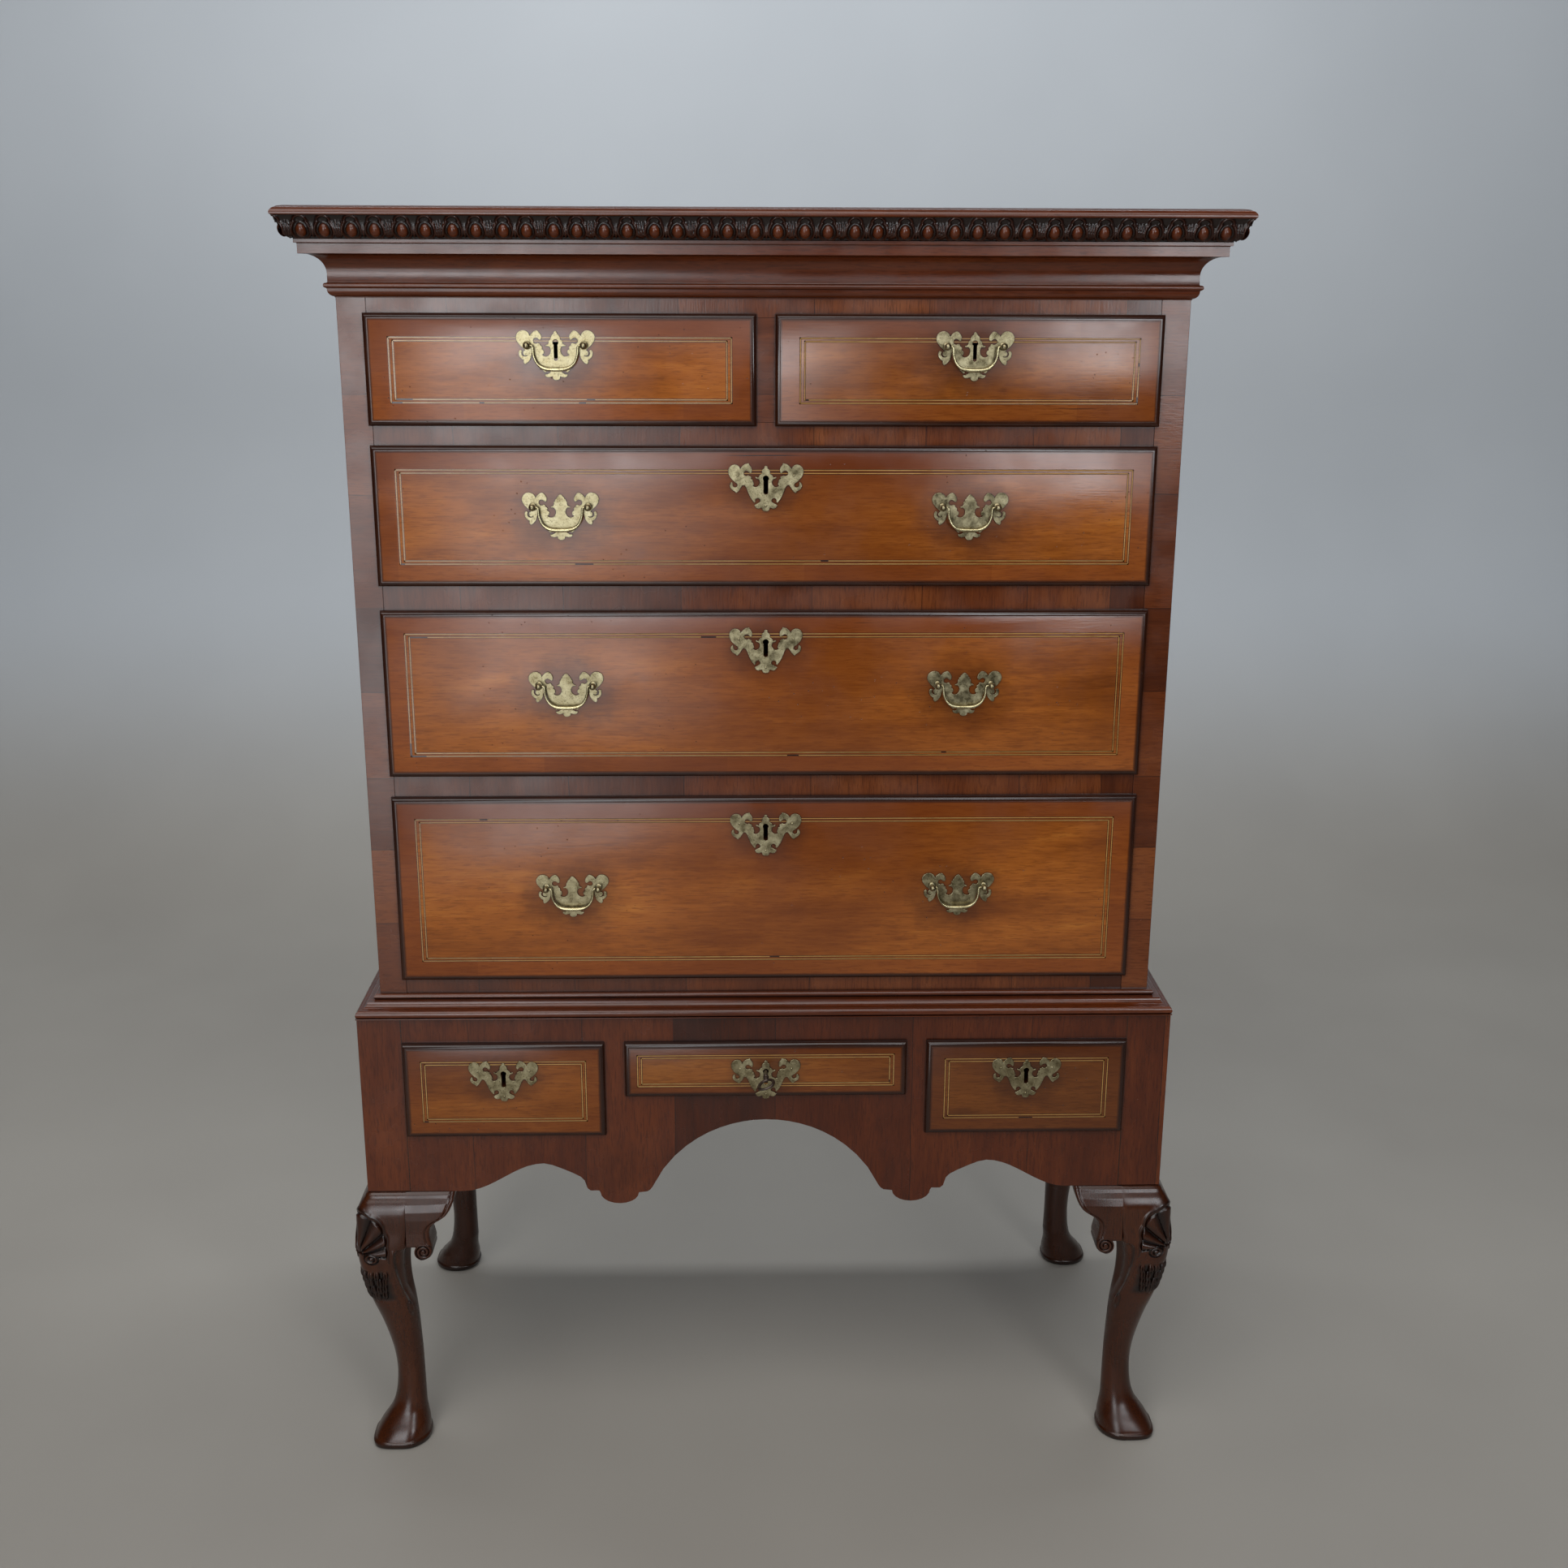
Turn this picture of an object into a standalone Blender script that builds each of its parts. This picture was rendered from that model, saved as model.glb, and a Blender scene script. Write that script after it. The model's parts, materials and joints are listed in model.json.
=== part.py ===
"""Tall chest of drawers: a case of two short and three long drawers on a three-drawer stand with cabriole legs.

Units are metres, +Z is up and -Y is the front. Inside this script y = 0 is the front face of the case and
z = 0 the floor. One empty then moves the whole chest so that the origin is the middle of its footprint.
"""

import math

import bmesh
import bpy
from mathutils import Matrix, Vector

# ---------------------------------------------------------------- driving dimensions
GAP = 0.0003  # between pieces that touch

CASE_WIDTH = 0.960
CASE_DEPTH = 0.462
SIDE_THICKNESS = 0.020
STILE_WIDTH = 0.033
STILE_DEPTH = 0.022
BACK_THICKNESS = 0.010
BOARD_THICKNESS = 0.012
RAIL_DEPTH = 0.060
GUIDE_HEIGHT = 0.012

LEG_HEIGHT = 0.374  # floor to the underside of the stand's frame
STAND_FRAME_HEIGHT = 0.239
STAND_OVERHANG = 0.0275  # stand beyond the case, each side
STAND_STEP = 0.021  # stand ahead of the case
POST = 0.054
APRON_THICKNESS = 0.028
STAND_SIDE_THICKNESS = 0.022
WAIST_HEIGHT = 0.026

LONG_DRAWER_HEIGHTS = (0.2365, 0.202, 0.162)  # bottom to top
TOP_DRAWER_HEIGHT = 0.1246
RAIL_SHOWING = (0.018, 0.0255, 0.0286, 0.0218, 0.016)  # bottom rail to top rail
TOP_DIVIDER_SHOWING = 0.0208

SIDE_DRAWER_WIDTH = 0.2513
SIDE_DRAWER_HEIGHT = 0.127
CENTRE_DRAWER_WIDTH = 0.3534
CENTRE_DRAWER_HEIGHT = 0.0738
STAND_TOP_RAIL_SHOWING = 0.033

CORNICE_HEIGHT = 0.0865
TOP_BOARD_THICKNESS = 0.0105
TOP_BOARD_OVERHANG = 0.0545

LIP_OVERLAP = 0.0045  # drawer lip over the frame
LIP_PROUD = 0.0088  # drawer face ahead of the frame
LIP_ROUND = 0.0055
FRONT_BODY = 0.0145  # drawer front inside the opening
FRONT_FIT = 0.001
BOX_FIT = 0.0015
BOX_HEADROOM = 0.004
BOX_SIDE = 0.010
BOX_BOTTOM = 0.008
BOX_STOP = 0.012
RUNNER_WIDTH = 0.012
RUNNER_HEIGHT = 0.015

PLATE_THICKNESS = 0.0013
POST_SPACING = 0.0635
POST_BASE_RADIUS = 0.0040
POST_STEM_RADIUS = 0.0029
POST_BALL_RADIUS = 0.0038
PIVOT_REACH = 0.0058  # bail axis ahead of the plate
BALL_REACH = 0.0102
BAIL_DROP = 0.0262
BAIL_HALF_WIDTH = 0.0246
BAIL_ARM_RADIUS = 0.00135
BAIL_GRIP_RADIUS = 0.0021
BAIL_PIN_RADIUS = 0.0011
PIN_HOLE_RADIUS = 0.0015
PIN_DEPTH = 0.0016

KEYHOLE_RADIUS = 0.0032
KEYHOLE_SLOT = 0.0052
KEYHOLE_LENGTH = 0.0175
KEY_SHANK_RADIUS = 0.0026
KEY_SHANK_OUT = 0.024
KEY_BOW_WIDTH = 0.020
KEY_BOW_LENGTH = 0.025
KEY_BOW_WIRE = 0.0018
KEY_TURN = math.radians(20)
KEY_BIT = 0.0065
LOCK_RECESS_RADIUS = 0.0115
LOCK_RECESS_DEPTH = 0.009

LONG_HANDLE_X = 0.236
LONG_HANDLE_DROP = (0.1136, 0.0882, 0.0687)  # lip top to the handle posts, bottom drawer first
TOP_HANDLE_DROP = 0.0348
LONG_KEYHOLE_DROP = (0.0365, 0.0365, 0.0365)
SIDE_KEYHOLE_DROP = 0.0385
CENTRE_KEYHOLE_DROP = 0.0375

# ---------------------------------------------------------------- derived places
CASE_HALF = CASE_WIDTH / 2
STAND_HALF = CASE_HALF + STAND_OVERHANG
STAND_FRONT = -STAND_STEP
STAND_TOP = LEG_HEIGHT + STAND_FRAME_HEIGHT
WAIST_TOP = STAND_TOP + WAIST_HEIGHT
OPENING_HALF = CASE_HALF - STILE_WIDTH
LIP_HALF = OPENING_HALF + LIP_OVERLAP
INNER_HALF = CASE_HALF - SIDE_THICKNESS
CASE_BACK_INSIDE = CASE_DEPTH - BACK_THICKNESS


def case_rows():
    """Lip bottom and top of each row of case drawers, from the bottom row up."""
    rows = []
    z = WAIST_TOP
    for rail, height in zip(RAIL_SHOWING, LONG_DRAWER_HEIGHTS + (TOP_DRAWER_HEIGHT,)):
        z += rail
        rows.append((z, z + height))
        z += height
    return rows


ROWS = case_rows()
CORNICE_BOTTOM = ROWS[-1][1] + RAIL_SHOWING[-1]
CORNICE_TOP = CORNICE_BOTTOM + CORNICE_HEIGHT
TOTAL_HEIGHT = CORNICE_TOP + TOP_BOARD_THICKNESS
STAND_DRAWER_TOP = STAND_TOP - STAND_TOP_RAIL_SHOWING
SIDE_DRAWER_OUTER = STAND_HALF - POST - 0.0006
SIDE_DRAWER_INNER = SIDE_DRAWER_OUTER - SIDE_DRAWER_WIDTH
CENTRE_DRAWER_HALF = CENTRE_DRAWER_WIDTH / 2
STAND_BACK_INSIDE = CASE_DEPTH - STAND_SIDE_THICKNESS
KEY_REACH = KEY_SHANK_OUT + KEY_BOW_LENGTH + 2 * KEY_BOW_WIRE - 0.002
KEY_TIP_Y = STAND_FRONT - LIP_PROUD - GAP - PLATE_THICKNESS - KEY_REACH

# ---------------------------------------------------------------- materials
COLOURS = {
    "drawer_veneer": ((0.36, 0.14, 0.045), 0.32, 0.0),
    "case_walnut": ((0.20, 0.075, 0.03), 0.36, 0.0),
    "dark_moulding": ((0.10, 0.032, 0.018), 0.34, 0.0),
    "carved_leg": ((0.13, 0.035, 0.015), 0.34, 0.0),
    "drawer_lining": ((0.42, 0.27, 0.13), 0.62, 0.0),
    "back_board": ((0.30, 0.19, 0.10), 0.70, 0.0),
    "aged_brass": ((0.55, 0.45, 0.22), 0.34, 1.0),
    "old_iron": ((0.16, 0.14, 0.13), 0.50, 1.0),
}


def make_material(name):
    colour, roughness, metallic = COLOURS[name]
    found = bpy.data.materials.get(name)
    if found:
        return found
    made = bpy.data.materials.new(name)
    made.use_nodes = True
    shader = made.node_tree.nodes["Principled BSDF"]
    shader.inputs["Base Color"].default_value = (*colour, 1.0)
    shader.inputs["Roughness"].default_value = roughness
    shader.inputs["Metallic"].default_value = metallic
    made.diffuse_color = (*colour, 1.0)
    return made


# ---------------------------------------------------------------- scene helpers
def clear_scene():
    for thing in list(bpy.data.objects):
        bpy.data.objects.remove(thing, do_unlink=True)


def new_collection(name):
    made = bpy.data.collections.new(name)
    bpy.context.scene.collection.children.link(made)
    return made


def new_empty(name, place, parent=None):
    """An empty at a place in this script's frame. Its place is kept so that children can be set from it."""
    made = bpy.data.objects.new(name, None)
    made.empty_display_size = 0.05
    PARTS.objects.link(made)
    made["place"] = place
    if parent is None:
        made.location = place
    else:
        made.parent = parent
        made.location = Vector(place) - Vector(parent["place"])
    return made


def add_piece(name, shape, colour, parent, origin=(0, 0, 0)):
    """Makes a mesh object from a bmesh whose points are in this script's frame."""
    shape.normal_update()
    bmesh.ops.recalc_face_normals(shape, faces=shape.faces[:])
    shape.transform(Matrix.Translation(-Vector(origin)))
    data = bpy.data.meshes.new(name)
    shape.to_mesh(data)
    shape.free()
    data.materials.append(make_material(colour))
    made = bpy.data.objects.new(name, data)
    PARTS.objects.link(made)
    made.parent = parent
    made.location = Vector(origin) - Vector(parent["place"])
    return made


def shade_round(thing, angle=40):
    thing.data.shade_smooth()
    thing.data.set_sharp_from_angle(angle=math.radians(angle))


def add_cutter(name, shape):
    """A shape that is only used by a Boolean."""
    shape.normal_update()
    bmesh.ops.recalc_face_normals(shape, faces=shape.faces[:])
    data = bpy.data.meshes.new(name)
    shape.to_mesh(data)
    shape.free()
    made = bpy.data.objects.new(name, data)
    CUTTERS.objects.link(made)
    made.parent = CHEST
    made.hide_render = True
    made.display_type = "WIRE"
    return made


def combine(thing, shape, operation, label):
    """Adds a Boolean modifier that joins or cuts shape."""
    cutter = add_cutter(f"{thing.name}_{label}", shape)
    modifier = thing.modifiers.new(label, "BOOLEAN")
    modifier.operation = operation
    modifier.solver = "EXACT"
    modifier.object = cutter


# ---------------------------------------------------------------- shape helpers
def box(low, high):
    shape = bmesh.new()
    bmesh.ops.create_cube(shape, size=1.0)
    low = Vector(low)
    high = Vector(high)
    size = high - low
    bmesh.ops.scale(shape, vec=size, verts=shape.verts)
    bmesh.ops.translate(shape, vec=(low + high) / 2, verts=shape.verts)
    return shape


def rod(start, end, radius, sides=12, end_radius=None):
    """A round bar or cone between two points."""
    start = Vector(start)
    along = Vector(end) - start
    shape = bmesh.new()
    bmesh.ops.create_cone(
        shape,
        cap_ends=True,
        segments=sides,
        radius1=radius,
        radius2=radius if end_radius is None else end_radius,
        depth=along.length,
    )
    turn = along.to_track_quat("Z", "Y").to_matrix().to_4x4()
    shape.transform(Matrix.Translation(start + along / 2) @ turn)
    return shape


def loft(rings):
    """Joins rings of equally many points with quads and closes both ends."""
    shape = bmesh.new()
    loops = [[shape.verts.new(point) for point in ring] for ring in rings]
    for lower, upper in zip(loops, loops[1:]):
        for i in range(len(lower)):
            j = (i + 1) % len(lower)
            shape.faces.new((lower[i], lower[j], upper[j], upper[i]))
    shape.faces.new(loops[0])
    shape.faces.new(loops[-1])
    return shape


def flat_shape(loops, thickness, to_frame):
    """A flat piece cut to an outline, the first loop, with holes, the other loops."""
    curve = bpy.data.curves.new("outline", "CURVE")
    curve.dimensions = "2D"
    curve.fill_mode = "BOTH"
    curve.extrude = thickness / 2
    for loop in loops:
        spline = curve.splines.new("POLY")
        spline.points.add(len(loop) - 1)
        for point, (across, up) in zip(spline.points, loop):
            point.co = (across, up, 0, 1)
        spline.use_cyclic_u = True
    guide = bpy.data.objects.new("outline", curve)
    bpy.context.scene.collection.objects.link(guide)
    shape = mesh_from_curve(guide)
    shape.transform(to_frame)
    return shape


def mesh_from_curve(guide):
    bpy.context.view_layer.update()
    graph = bpy.context.evaluated_depsgraph_get()
    data = bpy.data.meshes.new_from_object(guide.evaluated_get(graph))
    shape = bmesh.new()
    shape.from_mesh(data)
    bmesh.ops.remove_doubles(shape, verts=shape.verts, dist=1e-6)
    bpy.data.meshes.remove(data)
    bpy.data.objects.remove(guide, do_unlink=True)
    return shape


def upright(x, y, z):
    """Stands a flat shape up, facing the front, with its middle at a place."""
    return Matrix.Translation((x, y, z)) @ Matrix.Rotation(math.pi / 2, 4, "X")


def sideways(x, y, z):
    """Stands a flat shape up, facing the side: across runs along Y."""
    turn = Matrix(((0, 0, 1, 0), (1, 0, 0, 0), (0, 1, 0, 0), (0, 0, 0, 1)))
    return Matrix.Translation((x, y, z)) @ turn


def arc(across, up, radius, first, last, count):
    """Points on a circle, by angles in degrees."""
    angles = [math.radians(first + (last - first) * i / count) for i in range(count + 1)]
    return [(across + radius * math.cos(a), up + radius * math.sin(a)) for a in angles]


def mirrored(half):
    """A closed outline from its right half, which runs from the top to the bottom middle."""
    left = [(-across, up) for across, up in reversed(half) if abs(across) > 1e-9]
    return half + left


def keyhole_outline(radius, slot, length):
    """A round hole with a slot below it. The origin is the middle of the round part."""
    half_slot = slot / 2
    start = math.degrees(math.asin(half_slot / radius))
    top = arc(0, 0, radius, -90 + start, 270 - start, 10)
    bottom = arc(0, -length + half_slot, half_slot, 180, 360, 4)
    return top + bottom


def millimetres(points):
    return [(across / 1000, up / 1000) for across, up in points]


def moulding(profile, half, front, back):
    """A mitred moulding round the front and both sides. A profile point is (outwards, up)."""
    corners = ((-1, 0, back), (-1, -1, front), (1, -1, front), (1, 0, back))
    rings = []
    for side, ahead, y in corners:
        rings.append([(side * (half + out), y + ahead * out, up) for out, up in profile])
    return loft(rings)


# ---------------------------------------------------------------- the case
def case_side(name, side):
    """A side board with its wider front stile, and a strip behind the stile that guides each drawer."""
    outer = side * CASE_HALF
    outline = [
        (outer, 0),
        (outer, CASE_DEPTH),
        (side * INNER_HALF, CASE_DEPTH),
        (side * INNER_HALF, STILE_DEPTH),
        (side * OPENING_HALF, STILE_DEPTH),
        (side * OPENING_HALF, 0),
    ]
    low = STAND_TOP + GAP
    high = CORNICE_TOP - GAP
    rings = [[(x, y, z) for x, y in outline] for z in (low, high)]
    board = add_piece(name, loft(rings), "case_walnut", CHEST)
    ends = sorted((side * OPENING_HALF, side * (INNER_HALF + 0.005)))
    for index, row in enumerate(ROWS):
        floor = row[0] + LIP_OVERLAP
        low_corner = (ends[0], STILE_DEPTH - 0.002, floor)
        strip = box(low_corner, (ends[1], CASE_BACK_INSIDE - GAP, floor + GUIDE_HEIGHT))
        combine(board, strip, "UNION", f"guide_{index}")


def case_shelf(name, low, high):
    """A front rail with the board behind it, flush at the top."""
    top = high - GAP
    back = CASE_BACK_INSIDE - GAP
    side = INNER_HALF - GAP
    shape = box((-OPENING_HALF + GAP, 0, low + GAP), (OPENING_HALF - GAP, RAIL_DEPTH, top))
    shelf = add_piece(name, shape, "case_walnut", CHEST)
    board = box((-side, STILE_DEPTH + GAP, top - BOARD_THICKNESS), (side, back, top))
    combine(shelf, board, "UNION", "board")


def build_case():
    case_side("case_side_left", -1)
    case_side("case_side_right", 1)
    lips = ROWS
    case_shelf("case_bottom_board", STAND_TOP, lips[0][0] + LIP_OVERLAP)
    for name, lower, upper in zip(("lower", "middle", "upper"), lips, lips[1:]):
        case_shelf(f"dustboard_{name}", lower[1] - LIP_OVERLAP, upper[0] + LIP_OVERLAP)

    ceiling = lips[-1][1] - LIP_OVERLAP
    frieze = box(
        (-OPENING_HALF + GAP, 0, ceiling + GAP),
        (OPENING_HALF - GAP, STILE_DEPTH, CORNICE_TOP - GAP),
    )
    top = add_piece("case_top_board", frieze, "case_walnut", CHEST)
    side = INNER_HALF - GAP
    low = (-side, STILE_DEPTH - 0.002, ceiling + GAP)
    board = box(low, (side, CASE_BACK_INSIDE - GAP, CORNICE_BOTTOM))
    notch = STILE_DEPTH + GAP
    combine(top, board, "UNION", "board")
    for label, end in (("left", -1), ("right", 1)):
        near = end * (OPENING_HALF - GAP)
        far = end * (side + GAP)
        corner = box((min(near, far), -GAP, low[2] - GAP), (max(near, far), notch, CORNICE_TOP))
        combine(top, corner, "DIFFERENCE", f"notch_{label}")

    divider_half = TOP_DIVIDER_SHOWING / 2 + LIP_OVERLAP
    floor = lips[-1][0] + LIP_OVERLAP
    divider = box((-divider_half, 0, floor), (divider_half, CASE_BACK_INSIDE - GAP, ceiling))
    add_piece("top_drawer_divider", divider, "case_walnut", CHEST)

    back = box(
        (-INNER_HALF + GAP, CASE_BACK_INSIDE, STAND_TOP + GAP),
        (INNER_HALF - GAP, CASE_DEPTH, CORNICE_TOP - GAP),
    )
    add_piece("case_back_boards", back, "back_board", CHEST)


def cornice_profile():
    """Ovolo, bead, flat band, cove, fascia, fillet and cyma, from the bottom up: (outwards, up)."""
    ovolo = arc(-0.0005, 0.0090, 0.0080, -75, 0, 3)
    bead = arc(0.0085, 0.0130, 0.0030, -60, 90, 4)
    cove = arc(0.0265, 0.0265, 0.0200, 180, 96, 5)
    lower_cyma = arc(0.0360, 0.0735, 0.0110, -90, 0, 3)
    upper_cyma = arc(0.0530, 0.0735, 0.0060, 180, 90, 3)
    upper_cyma = [(out, up + 0.0065) for out, up in upper_cyma]
    shape = [(GAP, 0)] + ovolo + bead + [(0.0065, 0.0165)] + cove
    shape += [(0.0315, 0.0466), (0.0315, 0.0575), (0.0345, 0.0580), (0.0345, 0.0620)]
    shape += lower_cyma + upper_cyma + [(0.0530, CORNICE_HEIGHT - GAP), (GAP, CORNICE_HEIGHT - GAP)]
    return [(out, CORNICE_BOTTOM + up) for out, up in shape]


def build_cornice():
    shape = moulding(cornice_profile(), CASE_HALF, 0, CASE_DEPTH)
    shade_round(add_piece("cornice_moulding", shape, "dark_moulding", CHEST), 30)
    reach = CASE_HALF + TOP_BOARD_OVERHANG
    shape = box((-reach, -TOP_BOARD_OVERHANG, CORNICE_TOP), (reach, CASE_DEPTH, TOTAL_HEIGHT))
    front_edges = [
        edge
        for edge in shape.edges
        if abs(edge.verts[0].co.z - edge.verts[1].co.z) < 1e-6
        and (edge.verts[0].co + edge.verts[1].co).y / 2 < CASE_DEPTH - 1e-6
    ]
    bmesh.ops.bevel(shape, geom=front_edges, offset=TOP_BOARD_THICKNESS * 0.35, segments=2, affect="EDGES")
    add_piece("cornice_top", shape, "dark_moulding", CHEST)


# ---------------------------------------------------------------- the stand
# Leg sections, floor to frame: (height share, face to outside, face to inside, outer and inner squareness).
# The first size is how far the leg stands beyond the stand's faces, the second how far it reaches inwards.
LEG_SECTIONS = (
    (0.000, 0.0120, 0.0560, 3.4, 2.2),
    (0.014, 0.0165, 0.0600, 3.6, 2.2),
    (0.032, 0.0150, 0.0600, 3.4, 2.2),
    (0.055, 0.0080, 0.0575, 3.0, 2.2),
    (0.082, 0.0000, 0.0550, 2.6, 2.1),
    (0.120, -0.0080, 0.0532, 2.2, 2.0),
    (0.170, -0.0135, 0.0525, 2.0, 2.0),
    (0.250, -0.0160, 0.0520, 2.0, 2.0),
    (0.330, -0.0143, 0.0517, 2.0, 2.0),
    (0.410, -0.0090, 0.0510, 2.2, 2.1),
    (0.490, -0.0020, 0.0500, 2.4, 2.3),
    (0.560, 0.0050, 0.0480, 2.7, 2.6),
    (0.630, 0.0110, 0.0445, 3.0, 3.0),
    (0.700, 0.0155, 0.0425, 3.2, 3.6),
    (0.760, 0.0185, 0.0440, 3.4, 4.0),
    (0.810, 0.0188, 0.0520, 3.6, 6.0),
    (0.860, 0.0168, 0.0540, 4.0, 8.0),
    (0.920, 0.0155, 0.0540, 4.5, 10.0),
    (0.955, 0.0120, 0.0540, 5.0, 12.0),
    (0.980, 0.0060, 0.0540, 6.0, 14.0),
)
SQUARE = 400.0
LEG_SIDES = 16
BACK_LEG_TUCK = 0.012  # the plain back legs stand this much further in
KNEE_REACH = max(section[1] for section in LEG_SECTIONS)
MIDDLE_Y = (min(KEY_TIP_Y, -TOP_BOARD_OVERHANG) + CASE_DEPTH + KNEE_REACH) / 2


def leg_ring(side, end, corner, z, out, inwards, outer_power, inner_power):
    """One section of a leg, a rounded square that can be pointed towards its outer corner."""
    half = (out + inwards) / 2
    middle = (inwards - out) / 2
    ring = []
    for i in range(LEG_SIDES):
        angle = 2 * math.pi * i / LEG_SIDES
        towards_corner = max(0.0, math.cos(angle - math.pi / 4)) ** 2
        power = inner_power + (outer_power - inner_power) * towards_corner
        c = math.cos(angle)
        s = math.sin(angle)
        reach = half / (abs(c) ** power + abs(s) ** power) ** (1 / power)
        x = corner[0] + side * (reach * c - middle)
        y = corner[1] + end * (reach * s - middle)
        ring.append((x, y, z))
    return ring


def ear_outline():
    """Knee bracket, from the post outwards and down from the frame, ending in a scroll."""
    curve = [(-10, 0), (57, 0), (54.5, -11), (50, -20), (40, -32), (26, -38), (15.5, -46.5), (10.5, -58), (10, -70)]
    scroll = arc(11.5, -79, 7.5, 60, -190, 6)
    return millimetres(curve + scroll + [(0, -70), (-10, -68)])


def build_leg(name, side, end, corner_y, ears):
    """end is -1 for a front leg and 1 for a back leg."""
    corner = (side * STAND_HALF, corner_y)
    rings = []
    for share, out, inwards, outer_power, inner_power in LEG_SECTIONS:
        tuck = BACK_LEG_TUCK * min(1.0, max(0.0, (0.80 - share) / 0.30)) if end > 0 else 0.0
        foot = max(0.0, 1.0 - share / 0.16)
        sizes = (out - tuck, inwards + tuck * (1.0 - 0.75 * foot))
        rings.append(leg_ring(side, end, corner, share * LEG_HEIGHT, *sizes, outer_power, inner_power))
    for z in (LEG_HEIGHT - GAP, STAND_TOP):
        rings.append(leg_ring(side, end, corner, z, 0.0, POST, SQUARE, SQUARE))
    leg = add_piece(name, loft(rings), "carved_leg", CHEST)
    shade_round(leg, 35)
    thickness = 0.032
    for face in ears:
        across = [(-side * a, u) for a, u in ear_outline()]
        if face == "front":
            place = upright(side * (STAND_HALF - POST), corner_y + 0.005, LEG_HEIGHT - GAP)
        else:
            across = [(-end * a, u) for a, u in ear_outline()]
            place = sideways(side * (STAND_HALF - 0.005), corner_y - end * POST, LEG_HEIGHT - GAP)
        combine(leg, flat_shape([across], thickness, place), "UNION", f"ear_{face}")


MAIN_ARCH_HALF = 0.1452
MAIN_ARCH_RISE = 0.0945
PENDANT_X = 0.1868
PENDANT_HALF = 0.0245
PENDANT_DROP = 0.0155
# The lobe between the main arch and the pendant, from the arch's end: (across, up).
INNER_LOBE = ((0.0028, -0.0005), (0.0063, -0.0028), (0.0154, -0.0040))
# The step between the pendant and the small arch, from the pendant's middle: (across, up).
OUTER_LOBE = (
    (0.0262, -0.0010),
    (0.0370, -0.0010),
    (0.0412, 0.0025),
    (0.0428, 0.0080),
    (0.0445, 0.0135),
    (0.0490, 0.0185),
    (0.0585, 0.0240),
    (0.0735, 0.0310),
    (0.0850, 0.0358),
)
SMALL_ARCH_TOP_X = 0.2824
SMALL_ARCH_RISE = 0.0381
SMALL_ARCH_END = 0.3853
ARCH_STEPS = 10


def apron_lower_edge():
    """The right half of the apron's lower edge, from the middle out: (across, up from the frame's underside)."""
    radius = (MAIN_ARCH_HALF**2 + MAIN_ARCH_RISE**2) / (2 * MAIN_ARCH_RISE)
    edge = []
    for i in range(ARCH_STEPS + 1):
        x = MAIN_ARCH_HALF * i / ARCH_STEPS
        edge.append((x, MAIN_ARCH_RISE - radius + math.sqrt(radius**2 - x**2) + 0.003))
    edge += [(MAIN_ARCH_HALF + across, up) for across, up in INNER_LOBE]
    for i in range(ARCH_STEPS + 1):
        angle = math.pi * i / ARCH_STEPS
        x = PENDANT_X - PENDANT_HALF * math.cos(angle)
        edge.append((x, -0.004 - PENDANT_DROP * math.sin(angle)))
    edge += [(PENDANT_X + across, up) for across, up in OUTER_LOBE]
    edge.append((SMALL_ARCH_TOP_X, SMALL_ARCH_RISE))
    run = SMALL_ARCH_END - SMALL_ARCH_TOP_X
    for i in range(1, ARCH_STEPS + 1):
        share = i / ARCH_STEPS
        edge.append((SMALL_ARCH_TOP_X + run * share, SMALL_ARCH_RISE * (1 + math.cos(math.pi * share)) / 2))
    return edge


def rectangle(left, right, low, high):
    return [(left, low), (right, low), (right, high), (left, high)]


def build_apron():
    half = STAND_HALF - POST - GAP
    edge = [(x, LEG_HEIGHT + up) for x, up in apron_lower_edge()]
    right = [(0, STAND_TOP), (half, STAND_TOP), (half, LEG_HEIGHT)] + list(reversed(edge))
    holes = []
    for drawer in DRAWERS:
        if drawer["stand"]:
            holes.append(rectangle(*drawer["opening"]))
    middle = STAND_FRONT + APRON_THICKNESS / 2
    shape = flat_shape([mirrored(right)] + holes, APRON_THICKNESS, upright(0, middle, 0))
    add_piece("stand_front_apron", shape, "case_walnut", CHEST)


SIDE_EDGE_FLAT = 0.066
SIDE_EDGE_RISE = 0.030


def side_board_outline(front, back):
    """A side board with a low arch in its lower edge: (along Y, up)."""
    low = LEG_HEIGHT
    outline = [(back, STAND_TOP), (front, STAND_TOP), (front, low)]
    start = front + SIDE_EDGE_FLAT
    run = back - front - 2 * SIDE_EDGE_FLAT
    steps = 12
    for i in range(steps + 1):
        share = i / steps
        outline.append((start + run * share, low + SIDE_EDGE_RISE * (1 - math.cos(2 * math.pi * share)) / 2))
    outline.append((back, low))
    return outline


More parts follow.
